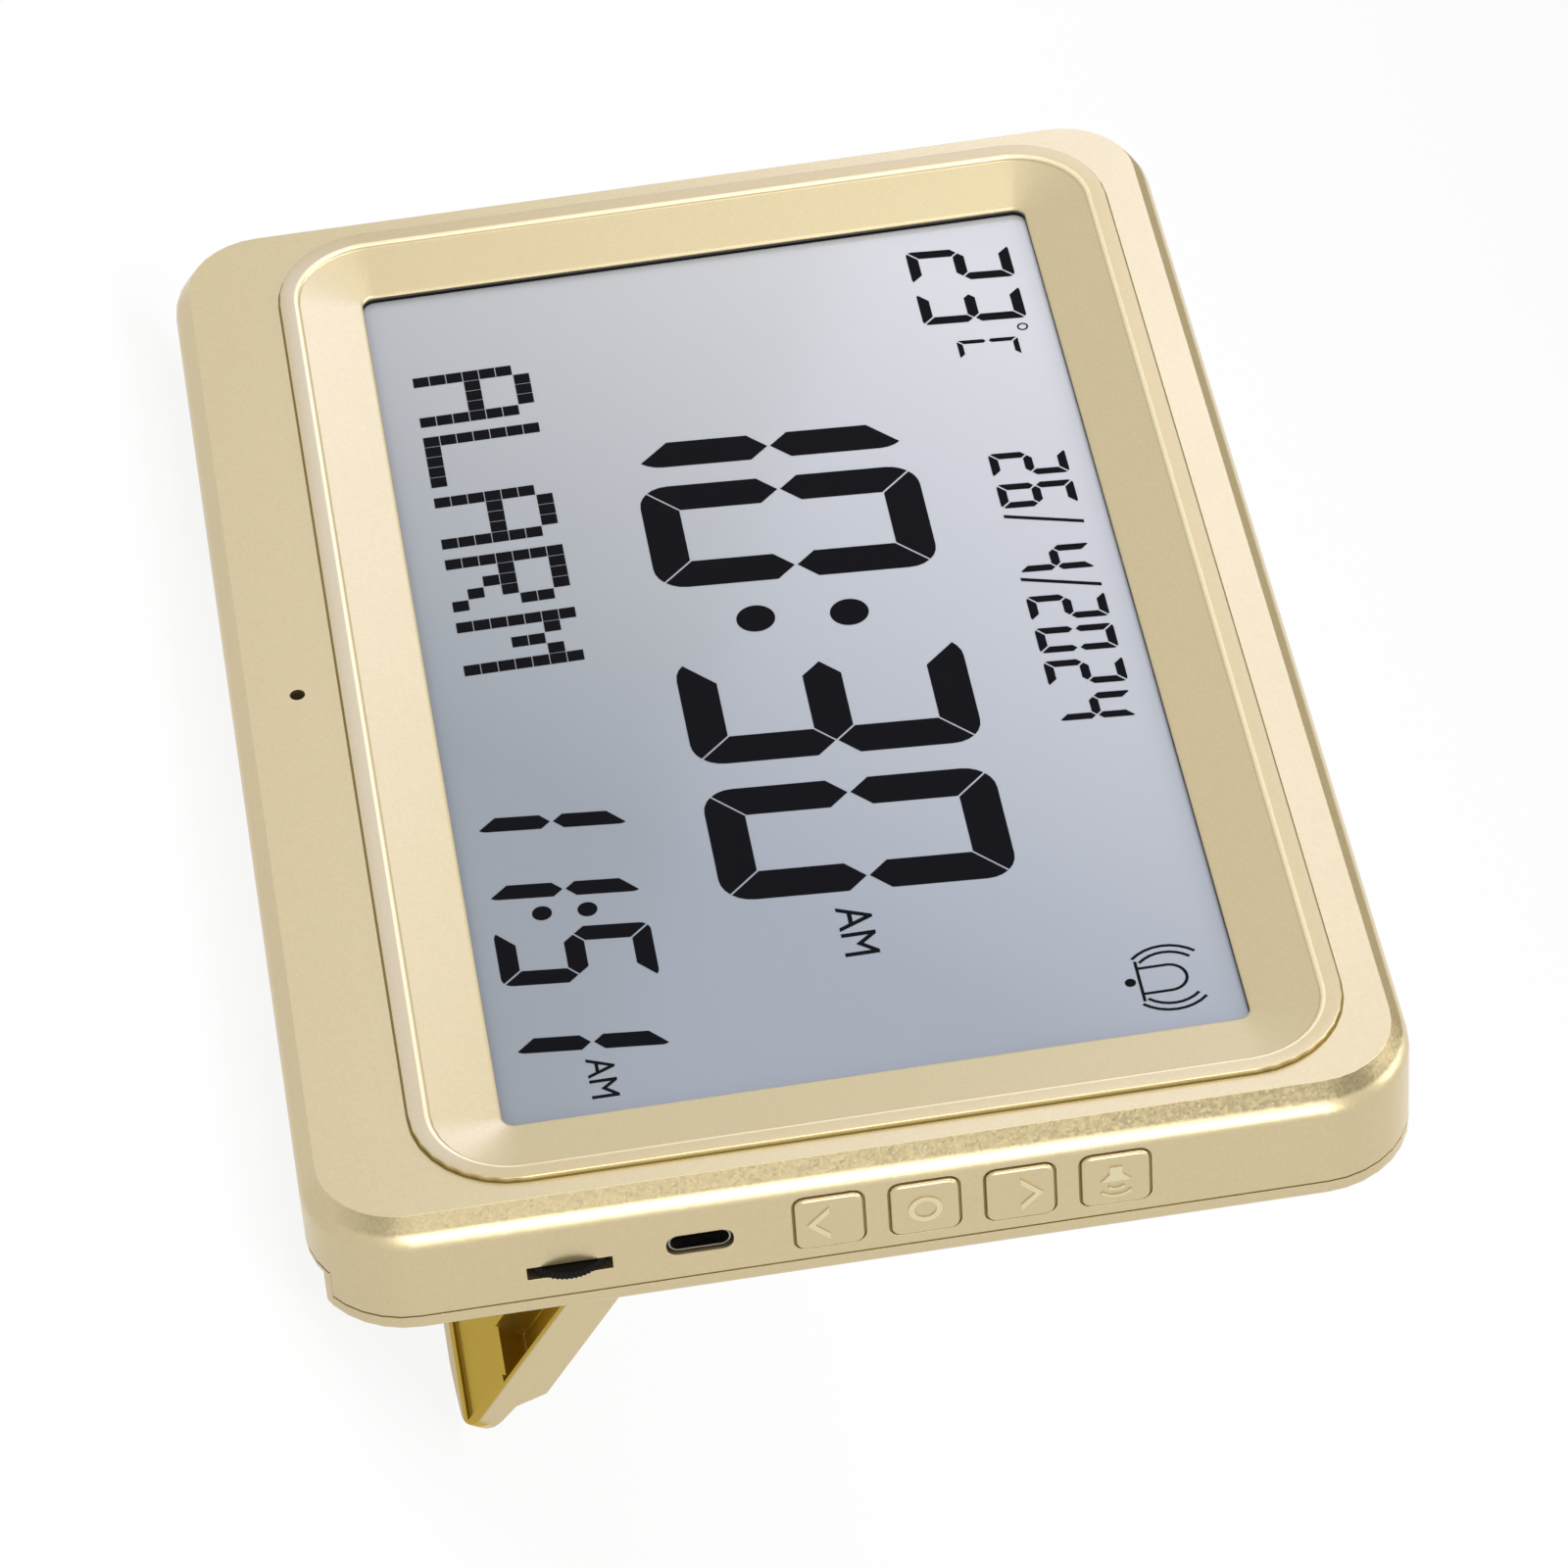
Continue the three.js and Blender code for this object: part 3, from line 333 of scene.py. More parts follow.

# %% [markdown]
# On the bevel round the front edge the spray dries sooner: the flakes stand at all angles, the clear coat
# hardly forms, and the edge looks like fine sand. Its tone is painted darker as well, partly for that finish
# and partly as painted shade. All of this fades out towards the bottom. A mask on the depth and the height in
# the body finds the bevel, and there it changes the tone, the flakes, the gloss and the coat.

# %% Shell paint with a sandy edge
# The darker bevel tone is partly painted shade.
EDGE_PAINTED_SHADE = (0.325, 0.265, 0.145, 1)
EDGE_START = (0.00002, 0.00008)
EDGE_END = (0.0021, 0.0026)
EDGE_LOW_END = (0.004, 0.0135)
EDGE_TILT = 0.12
EDGE_SHADE = 0.22
EDGE_ROUGHNESS = 0.4
EDGE_COAT = 0.1
SHELL_SHADE = 0.05


def edge_mask(tree):
    place = place_in(tree, BODY)
    start = remap(tree, place["Y"], *EDGE_START)
    end = remap(tree, place["Y"], *EDGE_END, 1.0, 0.0)
    bevel = math_node(tree, "MULTIPLY", start, end)
    return math_node(tree, "MULTIPLY", bevel, remap(tree, place["Z"], *EDGE_LOW_END))


def shell_tone(tree):
    return mix_colour(tree, edge_mask(tree), CHAMPAGNE, EDGE_PAINTED_SHADE)


def sandy_edge(material):
    tree, shader, flakes = parts_of(material)
    edge = edge_mask(tree)
    gloss = shader.inputs["Roughness"].links[0].from_socket
    feed(tree, flakes.inputs["Tilt"], by_mask(tree, edge, EVEN_TILT, EDGE_TILT))
    feed(tree, flakes.inputs["Shade"], by_mask(tree, edge, SHELL_SHADE, EDGE_SHADE))
    feed(tree, shader.inputs["Roughness"], by_mask(tree, edge, gloss, EDGE_ROUGHNESS))
    feed(tree, shader.inputs["Coat Weight"], by_mask(tree, edge, PAINT_COAT, EDGE_COAT))


shell_paint = paint("champagne_paint", shell_tone, flake_size=0.0004, shade=SHELL_SHADE, roughness=0.34)
sandy_edge(shell_paint)
print("shell paint ready")

# %% [markdown]
# The frame round the screen has two tones: its outer band is rosier than the wide slope. The thin crest
# between them and the low wall outside are painted paler, a painted highlight on their edges. All of them
# follow the rounded window, so a mask measures how far a point lies outside the window's rounded rectangle,
# and mixes the tones by it. Inside the lip, next to the glass, the frame is painted dark, a painted shade.
# The band is also crowned a little, so its shine runs along its top side. A bump that falls outwards gives
# that.

# %% Two-tone frame paint
ROSE_CHAMPAGNE = (0.5, 0.39, 0.185, 1)
SCREEN_HALF_WIDTH = 0.0931
SCREEN_BOTTOM = 0.0296
SCREEN_TOP = 0.1366
WINDOW_RADIUS = 0.002
BAND_START = 0.0098
BAND_BLUR = 0.0003
BAND_FALL = 0.18
CREST_PLACE = (0.0102, 0.0106)
CREST_BLUR = 0.0002
# The paler crest and wall are painted highlight, and the dark lip is painted shade.
CREST_PAINTED_HIGHLIGHT = (0.8, 0.68, 0.42, 1)
WALL_PAINTED_HIGHLIGHT = (0.8, 0.67, 0.36, 1)
WALL_START = 0.0129
WALL_BLUR = 0.00005
LIP_PAINTED_SHADE = (0.03, 0.024, 0.012, 1)
LIP_DEPTHS = (0.00225, 0.0025)


def window_distance(tree):
    """How far a point lies outside the screen window's rounded rectangle."""
    place = place_in(tree, BODY)
    middle = (SCREEN_BOTTOM + SCREEN_TOP) / 2
    straight_x = SCREEN_HALF_WIDTH - WINDOW_RADIUS
    straight_z = SCREEN_TOP - middle - WINDOW_RADIUS
    beside = math_node(tree, "SUBTRACT", math_node(tree, "ABSOLUTE", place["X"]), straight_x)
    centred = math_node(tree, "SUBTRACT", place["Z"], middle)
    above = math_node(tree, "SUBTRACT", math_node(tree, "ABSOLUTE", centred), straight_z)
    corner = add_node(tree, "ShaderNodeCombineXYZ", X=beside, Y=above)
    outside = vector_node(tree, "MAXIMUM", corner.outputs[0])
    return math_node(tree, "SUBTRACT", vector_node(tree, "LENGTH", outside), WINDOW_RADIUS)


def frame_tone(tree):
    """Champagne on the slope, rose on the band, painted highlight on crest and wall, painted shade inside the
    lip.
    """
    distance = window_distance(tree)
    lip = remap(tree, place_in(tree, BODY)["Y"], *LIP_DEPTHS)
    band = remap(tree, distance, BAND_START, BAND_START + BAND_BLUR)
    crest = between(tree, distance, *CREST_PLACE, CREST_BLUR)
    wall = remap(tree, distance, WALL_START, WALL_START + WALL_BLUR)
    colour = mix_colour(tree, band, CHAMPAGNE, ROSE_CHAMPAGNE)
    colour = mix_colour(tree, crest, colour, CREST_PAINTED_HIGHLIGHT)
    colour = mix_colour(tree, wall, colour, WALL_PAINTED_HIGHLIGHT)
    return mix_colour(tree, lip, colour, LIP_PAINTED_SHADE)


def crown(material):
    """Tilts the shading of the outer band outwards."""
    tree, shader, flakes = parts_of(material)
    past = math_node(tree, "MAXIMUM", math_node(tree, "SUBTRACT", window_distance(tree), BAND_START))
    height = math_node(tree, "MULTIPLY", past, -BAND_FALL)
    bump = add_node(
        tree, "ShaderNodeBump", Strength=1.0, Distance=1.0, Height=height, Normal=flakes.outputs["Normal"]
    )
    feed(tree, shader.inputs["Normal"], bump.outputs["Normal"])


frame_paint = paint("frame_paint", frame_tone, flake_size=0.00026, shade=0.06, roughness=0.34)
crown(frame_paint)
print("frame paint ready")

# %% [markdown]
# The hollow side of the folding feet is painted a deep gold, a painted shade for the dim, gold-tinted light
# inside the hollow. Measured in a foot's own frame, whose depth runs through the leg, a mask takes in
# everything but the outer faces, the back one of which sinks towards the toe for a finger. There the clear
# coat is missing too. A darker gold, also painted shade, fills the narrow joints of the shell.

# %% Paint of the feet and of the joints
# The darker gold of the joints is painted shade.
JOINT_PAINTED_SHADE = (0.24, 0.185, 0.055, 1)
# The deep gold of a foot's hollow side is painted shade.
FOOT_HOLLOW_PAINTED_SHADE = (0.52, 0.37, 0.055, 1)
FOOT_HINGE = Vector((0, 0.0184, 0.0469))
FOOT_OPEN = math.radians(56.6)
FOOT = BODY @ Matrix.Translation(FOOT_HINGE) @ Matrix.Rotation(FOOT_OPEN, 4, "X")
FOOT_SIDES = (0.0544, 0.1036)
FOOT_DEPTHS = (-0.01, 0.0012)
FOOT_HEIGHTS = (-0.0447, 0.01)
FOOT_BLUR = 0.0003
GRIP_HEIGHTS = (-0.0323, -0.0363)
GRIP_SINK = 0.0028
TOE_HEIGHTS = (-0.0363, -0.0465)
TOE_SINK = 0.002


def hollow_side(tree):
    """One on the hollow side of a foot, and nothing on its outer faces."""
    place = place_in(tree, FOOT)
    across = between(tree, math_node(tree, "ABSOLUTE", place["X"]), *FOOT_SIDES, FOOT_BLUR)
    grip = remap(tree, place["Z"], *GRIP_HEIGHTS, 0.0, GRIP_SINK)
    toe = remap(tree, place["Z"], *TOE_HEIGHTS, 0.0, TOE_SINK)
    sunk = math_node(tree, "ADD", grip, toe)
    through = between(tree, math_node(tree, "ADD", place["Y"], sunk), *FOOT_DEPTHS, FOOT_BLUR)
    along = between(tree, place["Z"], *FOOT_HEIGHTS, FOOT_BLUR)
    return math_node(tree, "MULTIPLY", math_node(tree, "MULTIPLY", across, through), along)


def foot_tone(tree):
    return mix_colour(tree, hollow_side(tree), CHAMPAGNE, FOOT_HOLLOW_PAINTED_SHADE)


def bare_hollow(material):
    tree, shader, flakes = parts_of(material)
    feed(tree, shader.inputs["Coat Weight"], by_mask(tree, hollow_side(tree), PAINT_COAT, 0.0))


foot_paint = paint("foot_paint", foot_tone, flake_size=0.0003, shade=0.05, roughness=0.36)
bare_hollow(foot_paint)
joint_shade_paint = paint("joint_painted_shade", JOINT_PAINTED_SHADE, flake_size=0.0002, shade=0.04, roughness=0.4)
parts_of(joint_shade_paint)[1].inputs["Coat Weight"].default_value = EDGE_COAT
print("foot paint and joint paint ready")

# %% [markdown]
# A reflective screen is a stack of glass, polariser and a pale mirror, so it looks grey-blue. Its colour is
# painted lighter towards the upper left and darker towards the lower right, a painted reflection of the light
# on that side. The top sheet is clear and glossy.

# %% Screen glass
# The lighter tone at the upper left is a painted reflection of the light on that side.
SCREEN_PAINTED_SHEEN = (0.54, 0.54, 0.55, 1)
SCREEN_DARK = (0.243, 0.272, 0.305, 1)
FADE = (0.1, 0.72)
FADE_ACROSS_SHARE = 0.62
SCREEN_ROUGHNESS = 0.3
SCREEN_COAT = 0.5
SCREEN_COAT_ROUGHNESS = 0.08


def screen_glass():
    material, tree, shader = new_material(
        "screen_glass", Roughness=SCREEN_ROUGHNESS, Coat_Weight=SCREEN_COAT,
        Coat_Roughness=SCREEN_COAT_ROUGHNESS,
    )
    place = place_in(tree, BODY)
    across = remap(tree, place["X"], -SCREEN_HALF_WIDTH, SCREEN_HALF_WIDTH)
    down = remap(tree, place["Z"], SCREEN_TOP, SCREEN_BOTTOM)
    across_share = math_node(tree, "MULTIPLY", across, FADE_ACROSS_SHARE)
    down_share = math_node(tree, "MULTIPLY", down, 1 - FADE_ACROSS_SHARE)
    curve = remap(tree, math_node(tree, "ADD", across_share, down_share), *FADE)
    feed(tree, shader.inputs["Base Color"], mix_colour(tree, curve, SCREEN_PAINTED_SHEEN, SCREEN_DARK))
    return material


screen_material = screen_glass()
print("screen ready")

# %% [markdown]
# The other finishes are simpler: a base colour that varies a little, an uneven gloss and, where
# the real surface has grain, a fine bump.

# %% Plain finishes
PLAIN_PATCH = 0.008
GLOSS_SPREAD = 0.15
TONE_SPREAD = 0.12
GRAIN_SIZE = 0.0002
GRAIN_DEPTH_SHARE = 0.25
GRAIN_DETAIL = 2.0


def add_grain(tree, shader, strength):
    specks = add_node(
        tree, "ShaderNodeTexNoise", Vector=object_place(tree), Scale=1 / GRAIN_SIZE, Detail=GRAIN_DETAIL
    )
    bump = add_node(
        tree, "ShaderNodeBump", Strength=strength, Height=specks.outputs["Fac"],
        Distance=GRAIN_SIZE * GRAIN_DEPTH_SHARE,
    )
    feed(tree, shader.inputs["Normal"], bump.outputs["Normal"])


def plain(name, colour, roughness, metallic=0.0, grain=0.0, coat=0.0, shine=0.5):
    material, tree, shader = new_material(
        name, Metallic=metallic, Coat_Weight=coat, Specular_IOR_Level=shine
    )
    gloss = place_group(
        tree, UNEVEN, Vector=object_place(tree), Patch_Size=PLAIN_PATCH,
        Low=roughness * (1 - GLOSS_SPREAD), High=roughness * (1 + GLOSS_SPREAD),
    )
    feed(tree, shader.inputs["Roughness"], gloss["Roughness"])
    shade = (*(channel * (1 - TONE_SPREAD) for channel in colour), 1)
    feed(tree, shader.inputs["Base Color"], mix_colour(tree, gloss["Patch"], shade, (*colour, 1)))
    if grain:
        add_grain(tree, shader, grain)
    return material


FINISH_VALUES = {
    "black_plastic": dict(colour=(0.008, 0.008, 0.009), roughness=0.4, grain=0.3, shine=0.2),
    "wheel_plastic": dict(colour=(0.004, 0.0035, 0.003), roughness=0.45, grain=0.2, shine=0.08),
    "white_plastic": dict(colour=(0.8, 0.8, 0.77), roughness=0.5, grain=0.2),
    "clear_acrylic": dict(colour=(0.85, 0.88, 0.88), roughness=0.15, coat=0.5),
    "strip_rubber": dict(colour=(0.008, 0.008, 0.008), roughness=0.8, grain=0.4, shine=0.1),
    "circuit_board": dict(colour=(0.015, 0.13, 0.05), roughness=0.35, coat=0.4),
    "bright_steel": dict(colour=(0.62, 0.62, 0.63), roughness=0.24, metallic=1.0, grain=0.15),
    "sensor_lens": dict(colour=(0.02, 0.012, 0.012), roughness=0.1, coat=1.0),
    "speaker_paper": dict(colour=(0.015, 0.014, 0.013), roughness=0.9, grain=0.6),
    "magnet_ferrite": dict(colour=(0.04, 0.04, 0.042), roughness=0.6, grain=0.4),
    "socket_steel": dict(colour=(0.3, 0.29, 0.28), roughness=0.28, metallic=1.0),
    "battery_foil": dict(colour=(0.3, 0.38, 0.5), roughness=0.35, metallic=0.6),
}
FINISHES = {name: plain(name, **values) for name, values in FINISH_VALUES.items()}
print("finishes:", len(FINISHES))

# %% [markdown]
# The solids come as loose triangles with hard edges. Real mouldings have small radii that catch
# the light, so each outer solid gets four modifiers: its triangles are joined and shaded smooth,
# flat areas are cleared of inner edges, sharp edges are rounded, and the normals are weighted so
# that flat faces stay flat.

# %% Soften the moulded edges
WELD_DISTANCE = 0.000002
FLAT_ANGLE = math.radians(0.4)
EDGE_ANGLE = math.radians(28)
EDGE_STEPS = 2


def smooth_shell_group():
    group = bpy.data.node_groups.new("joined_smooth_shell", "GeometryNodeTree")
    for direction in ("INPUT", "OUTPUT"):
        group.interface.new_socket("Geometry", in_out=direction, socket_type="NodeSocketGeometry")
    start, end = group.nodes.new("NodeGroupInput"), group.nodes.new("NodeGroupOutput")
    merge = add_node(group, "GeometryNodeMergeByDistance", Distance=WELD_DISTANCE, Geometry=start.outputs[0])
    smooth = add_node(group, "GeometryNodeSetShadeSmooth", Geometry=merge.outputs[0])
    feed(group, end.inputs[0], smooth.outputs[0])
    return group


SMOOTH_SHELL = smooth_shell_group()


def soften(name, radius):
    modifiers = NODES[name].modifiers
    set_all(modifiers.new("join", "NODES"), node_group=SMOOTH_SHELL)
    flat_faces = modifiers.new("flat_faces", "DECIMATE")
    set_all(flat_faces, decimate_type="DISSOLVE", angle_limit=FLAT_ANGLE)
    set_all(
        modifiers.new("round_edges", "BEVEL"), width=radius, segments=EDGE_STEPS, limit_method="ANGLE",
        angle_limit=EDGE_ANGLE, harden_normals=True, use_clamp_overlap=True,
    )
    set_all(modifiers.new("weigh_normals", "WEIGHTED_NORMAL"), keep_sharp=True)


BUTTONS = [f"{place}_button" for place in ("down", "set", "up", "sound")]
FEET = ("left_foot", "right_foot")
EDGE_RADII = {
    "front_housing": 0.00022,
    "back_cover": 0.00018,
    "bezel_ring": 0.00015,
    **dict.fromkeys(FEET, 0.0003),
    **dict.fromkeys(BUTTONS, 0.0001),
    "usb_socket_shell": 0.00005,
}
for node_name, edge_radius in EDGE_RADII.items():
    soften(node_name, edge_radius)
print("softened:", len(EDGE_RADII))

# %% [markdown]
# Each solid now takes its finish. The record names a material slot for every node, so most
# finishes follow from that name. Only the screen's frame, the feet, the buttons and the shell of
# the power socket need a choice of their own.

# %% Give every solid its finish
OWN_FINISH = {
    "bezel_ring": frame_paint,
    **dict.fromkeys(FEET, foot_paint),
    **dict.fromkeys(BUTTONS, button_paint),
    "usb_socket_shell": FINISHES["socket_steel"],
}
FINISHES["champagne_shell"] = shell_paint
FINISHES["screen_glass"] = screen_material
for entry in frame["record"]["subparts"]:
    for slot in NODES[entry["node"]].material_slots:
        slot.material = OWN_FINISH.get(entry["node"], FINISHES[entry["material_slot"]])
print("solids finished")

# %% [markdown]
# New pieces start as a bmesh in the body's frame. When a piece is done, its mesh is moved to
# its place, so that the object itself stays at the origin, and it rides on the body that carries it.

# %% Helpers that turn a bmesh into a piece
PIECE_WELD = WELD_DISTANCE / 4
HALF_UNIT = 0.5
CORNER_STEPS = 6


def mesh_from(shape, name):
    mesh = bpy.data.meshes.new(name)
    shape.to_mesh(mesh)
    shape.free()
    return mesh


def finish_piece(shape, name, material, body="clock"):
    bmesh.ops.remove_doubles(shape, verts=shape.verts, dist=PIECE_WELD)
    bmesh.ops.recalc_face_normals(shape, faces=shape.faces)
    for face in shape.faces:
        face.smooth = False
    mesh = mesh_from(shape, name)
    mesh.transform(BODY)
    mesh.materials.append(material)
    piece = new_object(name, mesh)
    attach(piece, body)
    return piece


def place_shape(shape, matrix):
    bmesh.ops.transform(shape, matrix=matrix, verts=shape.verts)


def add_shape(target, source, matrix):
    """Copies one bmesh into another at a place."""
    place_shape(source, matrix)
    carrier = mesh_from(source, "carrier")
    target.from_mesh(carrier)
    bpy.data.meshes.remove(carrier)


def rounded_plate(width, height, radius, segments=CORNER_STEPS):
    """A flat face from (0, 0) to (width, height) with rounded corners."""
    shape = bmesh.new()
    bmesh.ops.create_grid(shape, x_segments=1, y_segments=1, size=HALF_UNIT)
    bmesh.ops.translate(shape, vec=(HALF_UNIT, HALF_UNIT, 0), verts=shape.verts)
    bmesh.ops.scale(shape, vec=(width, height, 1), verts=shape.verts)
    if radius:
        bmesh.ops.bevel(
            shape, geom=shape.verts, offset=radius, offset_type="OFFSET", affect="VERTICES",
            segments=segments, profile=0.5, material=-1,
        )
    return shape


def thicken(shape, depth):
    """Extrudes a flat shape along z."""
    grown = bmesh.ops.extrude_face_region(shape, geom=shape.faces[:])
    tops = [item for item in grown["geom"] if isinstance(item, bmesh.types.BMVert)]
    bmesh.ops.translate(shape, vec=(0, 0, depth), verts=tops)


print("piece helpers ready")

# %% [markdown]
# A seven-segment digit is a rounded plate cut into seven bars. Straight cuts make one bar: the
# stroke's inner side, and slanted lines that leave a thin gap to the next bar. Only three bars
# are worked out, and the other four are their mirror images. The whole digit then leans a little.

# %% Seven-segment digits
LINE_GAP = 0.00016
SEGMENT_DEPTH = 0.00003
SLOPE = math.sqrt(0.5)
LINE_SHIFT = LINE_GAP * SLOPE
CUT_WELD = WELD_DISTANCE / 10
SEGMENTS_OF = {
    "0": "abcdef", "1": "bc", "2": "abged", "3": "abgcd", "4": "fgbc", "5": "afgcd", "6": "afgedc",
    "C": "afed",
}


def cut_plane(shape, point, normal, **keep):
    everything = shape.verts[:] + shape.edges[:] + shape.faces[:]
    bmesh.ops.bisect_plane(
        shape, geom=everything, dist=CUT_WELD, plane_co=point, plane_no=normal, **keep
    )


def keep_side(shape, point, normal):
    """Cuts away what lies behind a line through a point."""
    cut_plane(shape, (*point, 0), (*normal, 0), clear_inner=True)


def level_cuts(width, height, stroke):
    """The cuts of the top bar, each a point and the side that stays."""
    return [
        ((0, height - stroke), (0, 1)),
        ((LINE_SHIFT, height + LINE_SHIFT), (SLOPE, SLOPE)),
        ((width - LINE_SHIFT, height + LINE_SHIFT), (-SLOPE, SLOPE)),
    ]


def upright_cuts(_, height, stroke):
    """The cuts of the upper left bar."""
    across, middle = stroke / 2, height / 2
    return [
        ((stroke, 0), (-1, 0)),
        ((-LINE_SHIFT, height - LINE_SHIFT), (-SLOPE, -SLOPE)),
        ((across + LINE_SHIFT, middle + LINE_SHIFT), (SLOPE, SLOPE)),
        ((across - LINE_SHIFT, middle + LINE_SHIFT), (-SLOPE, SLOPE)),
    ]


def middle_cuts(width, height, stroke):
    """The cuts of the bar in the middle."""
    across, middle = stroke / 2, height / 2
    cuts = [((0, middle - across), (0, 1)), ((0, middle + across), (0, -1))]
    for side, turn in ((across, 1), (width - across, -1)):
        for rise in (1, -1):
            point = (side + turn * LINE_SHIFT, middle + rise * LINE_SHIFT)
            cuts.append((point, (turn * SLOPE, rise * SLOPE)))
    return cuts


CUTS_OF = dict.fromkeys("ad", level_cuts) | dict.fromkeys("fbec", upright_cuts) | {"g": middle_cuts}


def bar(letter, width, height, stroke, radius):
    shape = rounded_plate(width, height, radius)
    for point, normal in CUTS_OF[letter](width, height, stroke):
        keep_side(shape, point, normal)
    if letter in "bc":
        mirror_shape(shape, Matrix.Translation((width, 0, 0)) @ Matrix.Scale(-1, 4, (1, 0, 0)))
    if letter in "dec":
        mirror_shape(shape, Matrix.Translation((0, height, 0)) @ Matrix.Scale(-1, 4, (0, 1, 0)))
    return shape


def mirror_shape(shape, matrix):
    place_shape(shape, matrix)
    bmesh.ops.reverse_faces(shape, faces=shape.faces)


def leaning(slant):
    """A matrix that shears x by a share of y."""
    matrix = Matrix.Identity(4)
    matrix[0][1] = slant
    return matrix


def add_digit(target, letter, left, bottom, style):
    for segment in SEGMENTS_OF[letter]:
        shape = bar(segment, style["width"], style["height"], style["stroke"], style["radius"])
        add_shape(target, shape, Matrix.Translation((left, bottom, 0)) @ leaning(style["slant"]))


print("digit maker ready")

# %% [markdown]
# The screen shows the hour in the middle, a second time at the bottom right, the temperature at
# the top left and the date at the top. Their places are measured on the clock's face, from its
# left side and its bottom edge.

# %% The numbers on the screen
HOUR = {"width": 0.0237, "height": 0.0431, "stroke": 0.0058, "radius": 0.0047, "slant": 0.077}
NEXT_TIME = {"width": 0.0114, "height": 0.0226, "stroke": 0.0029, "radius": 0.0016, "slant": 0.11}
WARMTH = {"width": 0.0079, "height": 0.0163, "stroke": 0.00175, "radius": 0.001, "slant": 0.09}
CELSIUS = {"width": 0.0044, "height": 0.0096, "stroke": 0.00085, "radius": 0.0005, "slant": 0.09}
DATE = {"width": 0.0056, "height": 0.0118, "stroke": 0.00135, "radius": 0.0009, "slant": 0.09}

DATE_BOTTOM = 0.1209
DIGIT_ROWS = [
    (HOUR, 0.0665, {0.0443: "1", 0.0726: "0", 0.1126: "3", 0.1419: "0"}),
    (NEXT_TIME, 0.0329, {0.1324: "1", 0.1469: "1", 0.1649: "5", 0.1787: "1"}),
    (WARMTH, 0.1164, {0.02475: "2", 0.03525: "3"}),
    (CELSIUS, 0.12075, {0.0481: "C"}),
    (DATE, DATE_BOTTOM, {
        0.076: "2", 0.0834: "6", 0.0984: "4", 0.1097: "2", 0.117: "0", 0.1245: "2", 0.1322: "4",
    }),
]
DOTS = [
    (0.1074, 0.0943, 0.00295), (0.1059, 0.0802, 0.00295),
    (0.1630, 0.0470, 0.00145), (0.1625, 0.0404, 0.00145),
]
DOT_STEPS = 32


def add_dot(target, x, y, radius):
    shape = bmesh.new()
    bmesh.ops.create_circle(shape, cap_ends=True, segments=DOT_STEPS, radius=radius)
    add_shape(target, shape, Matrix.Translation((x, y, 0)))


screen_marks = bmesh.new()
for style, bottom, digits in DIGIT_ROWS:
    for left, letter in digits.items():
        add_digit(screen_marks, letter, left, bottom, style)
for x, y, radius in DOTS:
    add_dot(screen_marks, x, y, radius)
print("faces on the screen so far:", len(screen_marks.faces))

# %% [markdown]
# A dot matrix writes its letters with square cells, five across and seven down. Each letter is a
# small picture in text, and a loop puts a plate in every filled cell.

# %% Dot-matrix word, slashes and the degree ring
CELL_PITCH = (0.00245, 0.00262)
CELL_SIZE = (0.0023, 0.00248)
LETTER_PITCH = 0.01465
WORD_LEFT = 0.0389
WORD_TOP = 0.05375
LETTERS = {
    "A": ".###. #...# #...# ##### #...# #...# #...#",
    "L": "#.... #.... #.... #.... #.... #.... #####",
    "R": "####. #...# #...# ####. #.#.. #..#. #...#",
    "M": "#...# ##.## #.#.# #.#.# #...# #...# #...#",
}
SLASH_WIDTH = 0.0007
SLASH_SLANT = 0.30
SLASH_PLACES = (0.0905, 0.10525)
DEGREE_PLACE = (0.04675, 0.1316)
DEGREE_RADIUS = 0.00088
DEGREE_LINE = 0.00026


def add_plate(target, x, y, width, height, slant=0.0):
    add_shape(target, rounded_plate(width, height, 0), Matrix.Translation((x, y, 0)) @ leaning(slant))


def add_letter(target, letter, left):
    for row, cells in enumerate(LETTERS[letter].split()):
        for column, cell in enumerate(cells):
            if cell == "#":
                x = left + column * CELL_PITCH[0]
                y = WORD_TOP - (row + 1) * CELL_PITCH[1]
                add_plate(target, x, y, *CELL_SIZE)


def hollow(shape, line):
    """Leaves only a border of a flat shape."""
    inner = shape.faces[:]
    bmesh.ops.inset_region(
        shape, faces=inner, thickness=line, use_even_offset=True, use_boundary=True
    )
    bmesh.ops.delete(shape, geom=inner, context="FACES_ONLY")


def ring(radius, line, cuts=()):
    shape = bmesh.new()
    bmesh.ops.create_circle(shape, cap_ends=True, segments=DOT_STEPS, radius=radius)
    hollow(shape, line)
    for cut in cuts:
        keep_side(shape, (0, 0), cut)
    return shape


for index, letter in enumerate("ALARM"):
    add_letter(screen_marks, letter, WORD_LEFT + index * LETTER_PITCH)
for x in SLASH_PLACES:
    add_plate(screen_marks, x, DATE_BOTTOM, SLASH_WIDTH, DATE["height"], SLASH_SLANT)
add_shape(screen_marks, ring(DEGREE_RADIUS, DEGREE_LINE), Matrix.Translation((*DEGREE_PLACE, 0)))
print("faces on the screen so far:", len(screen_marks.faces))

# %% [markdown]
# Two small AM signs come from a text object turned into a mesh. A ringing bell in thin lines says
# that the alarm is on: an arch from half a ring, two legs, a sill and a clapper, and beside it
# the arcs of its sound, cut from wider rings.

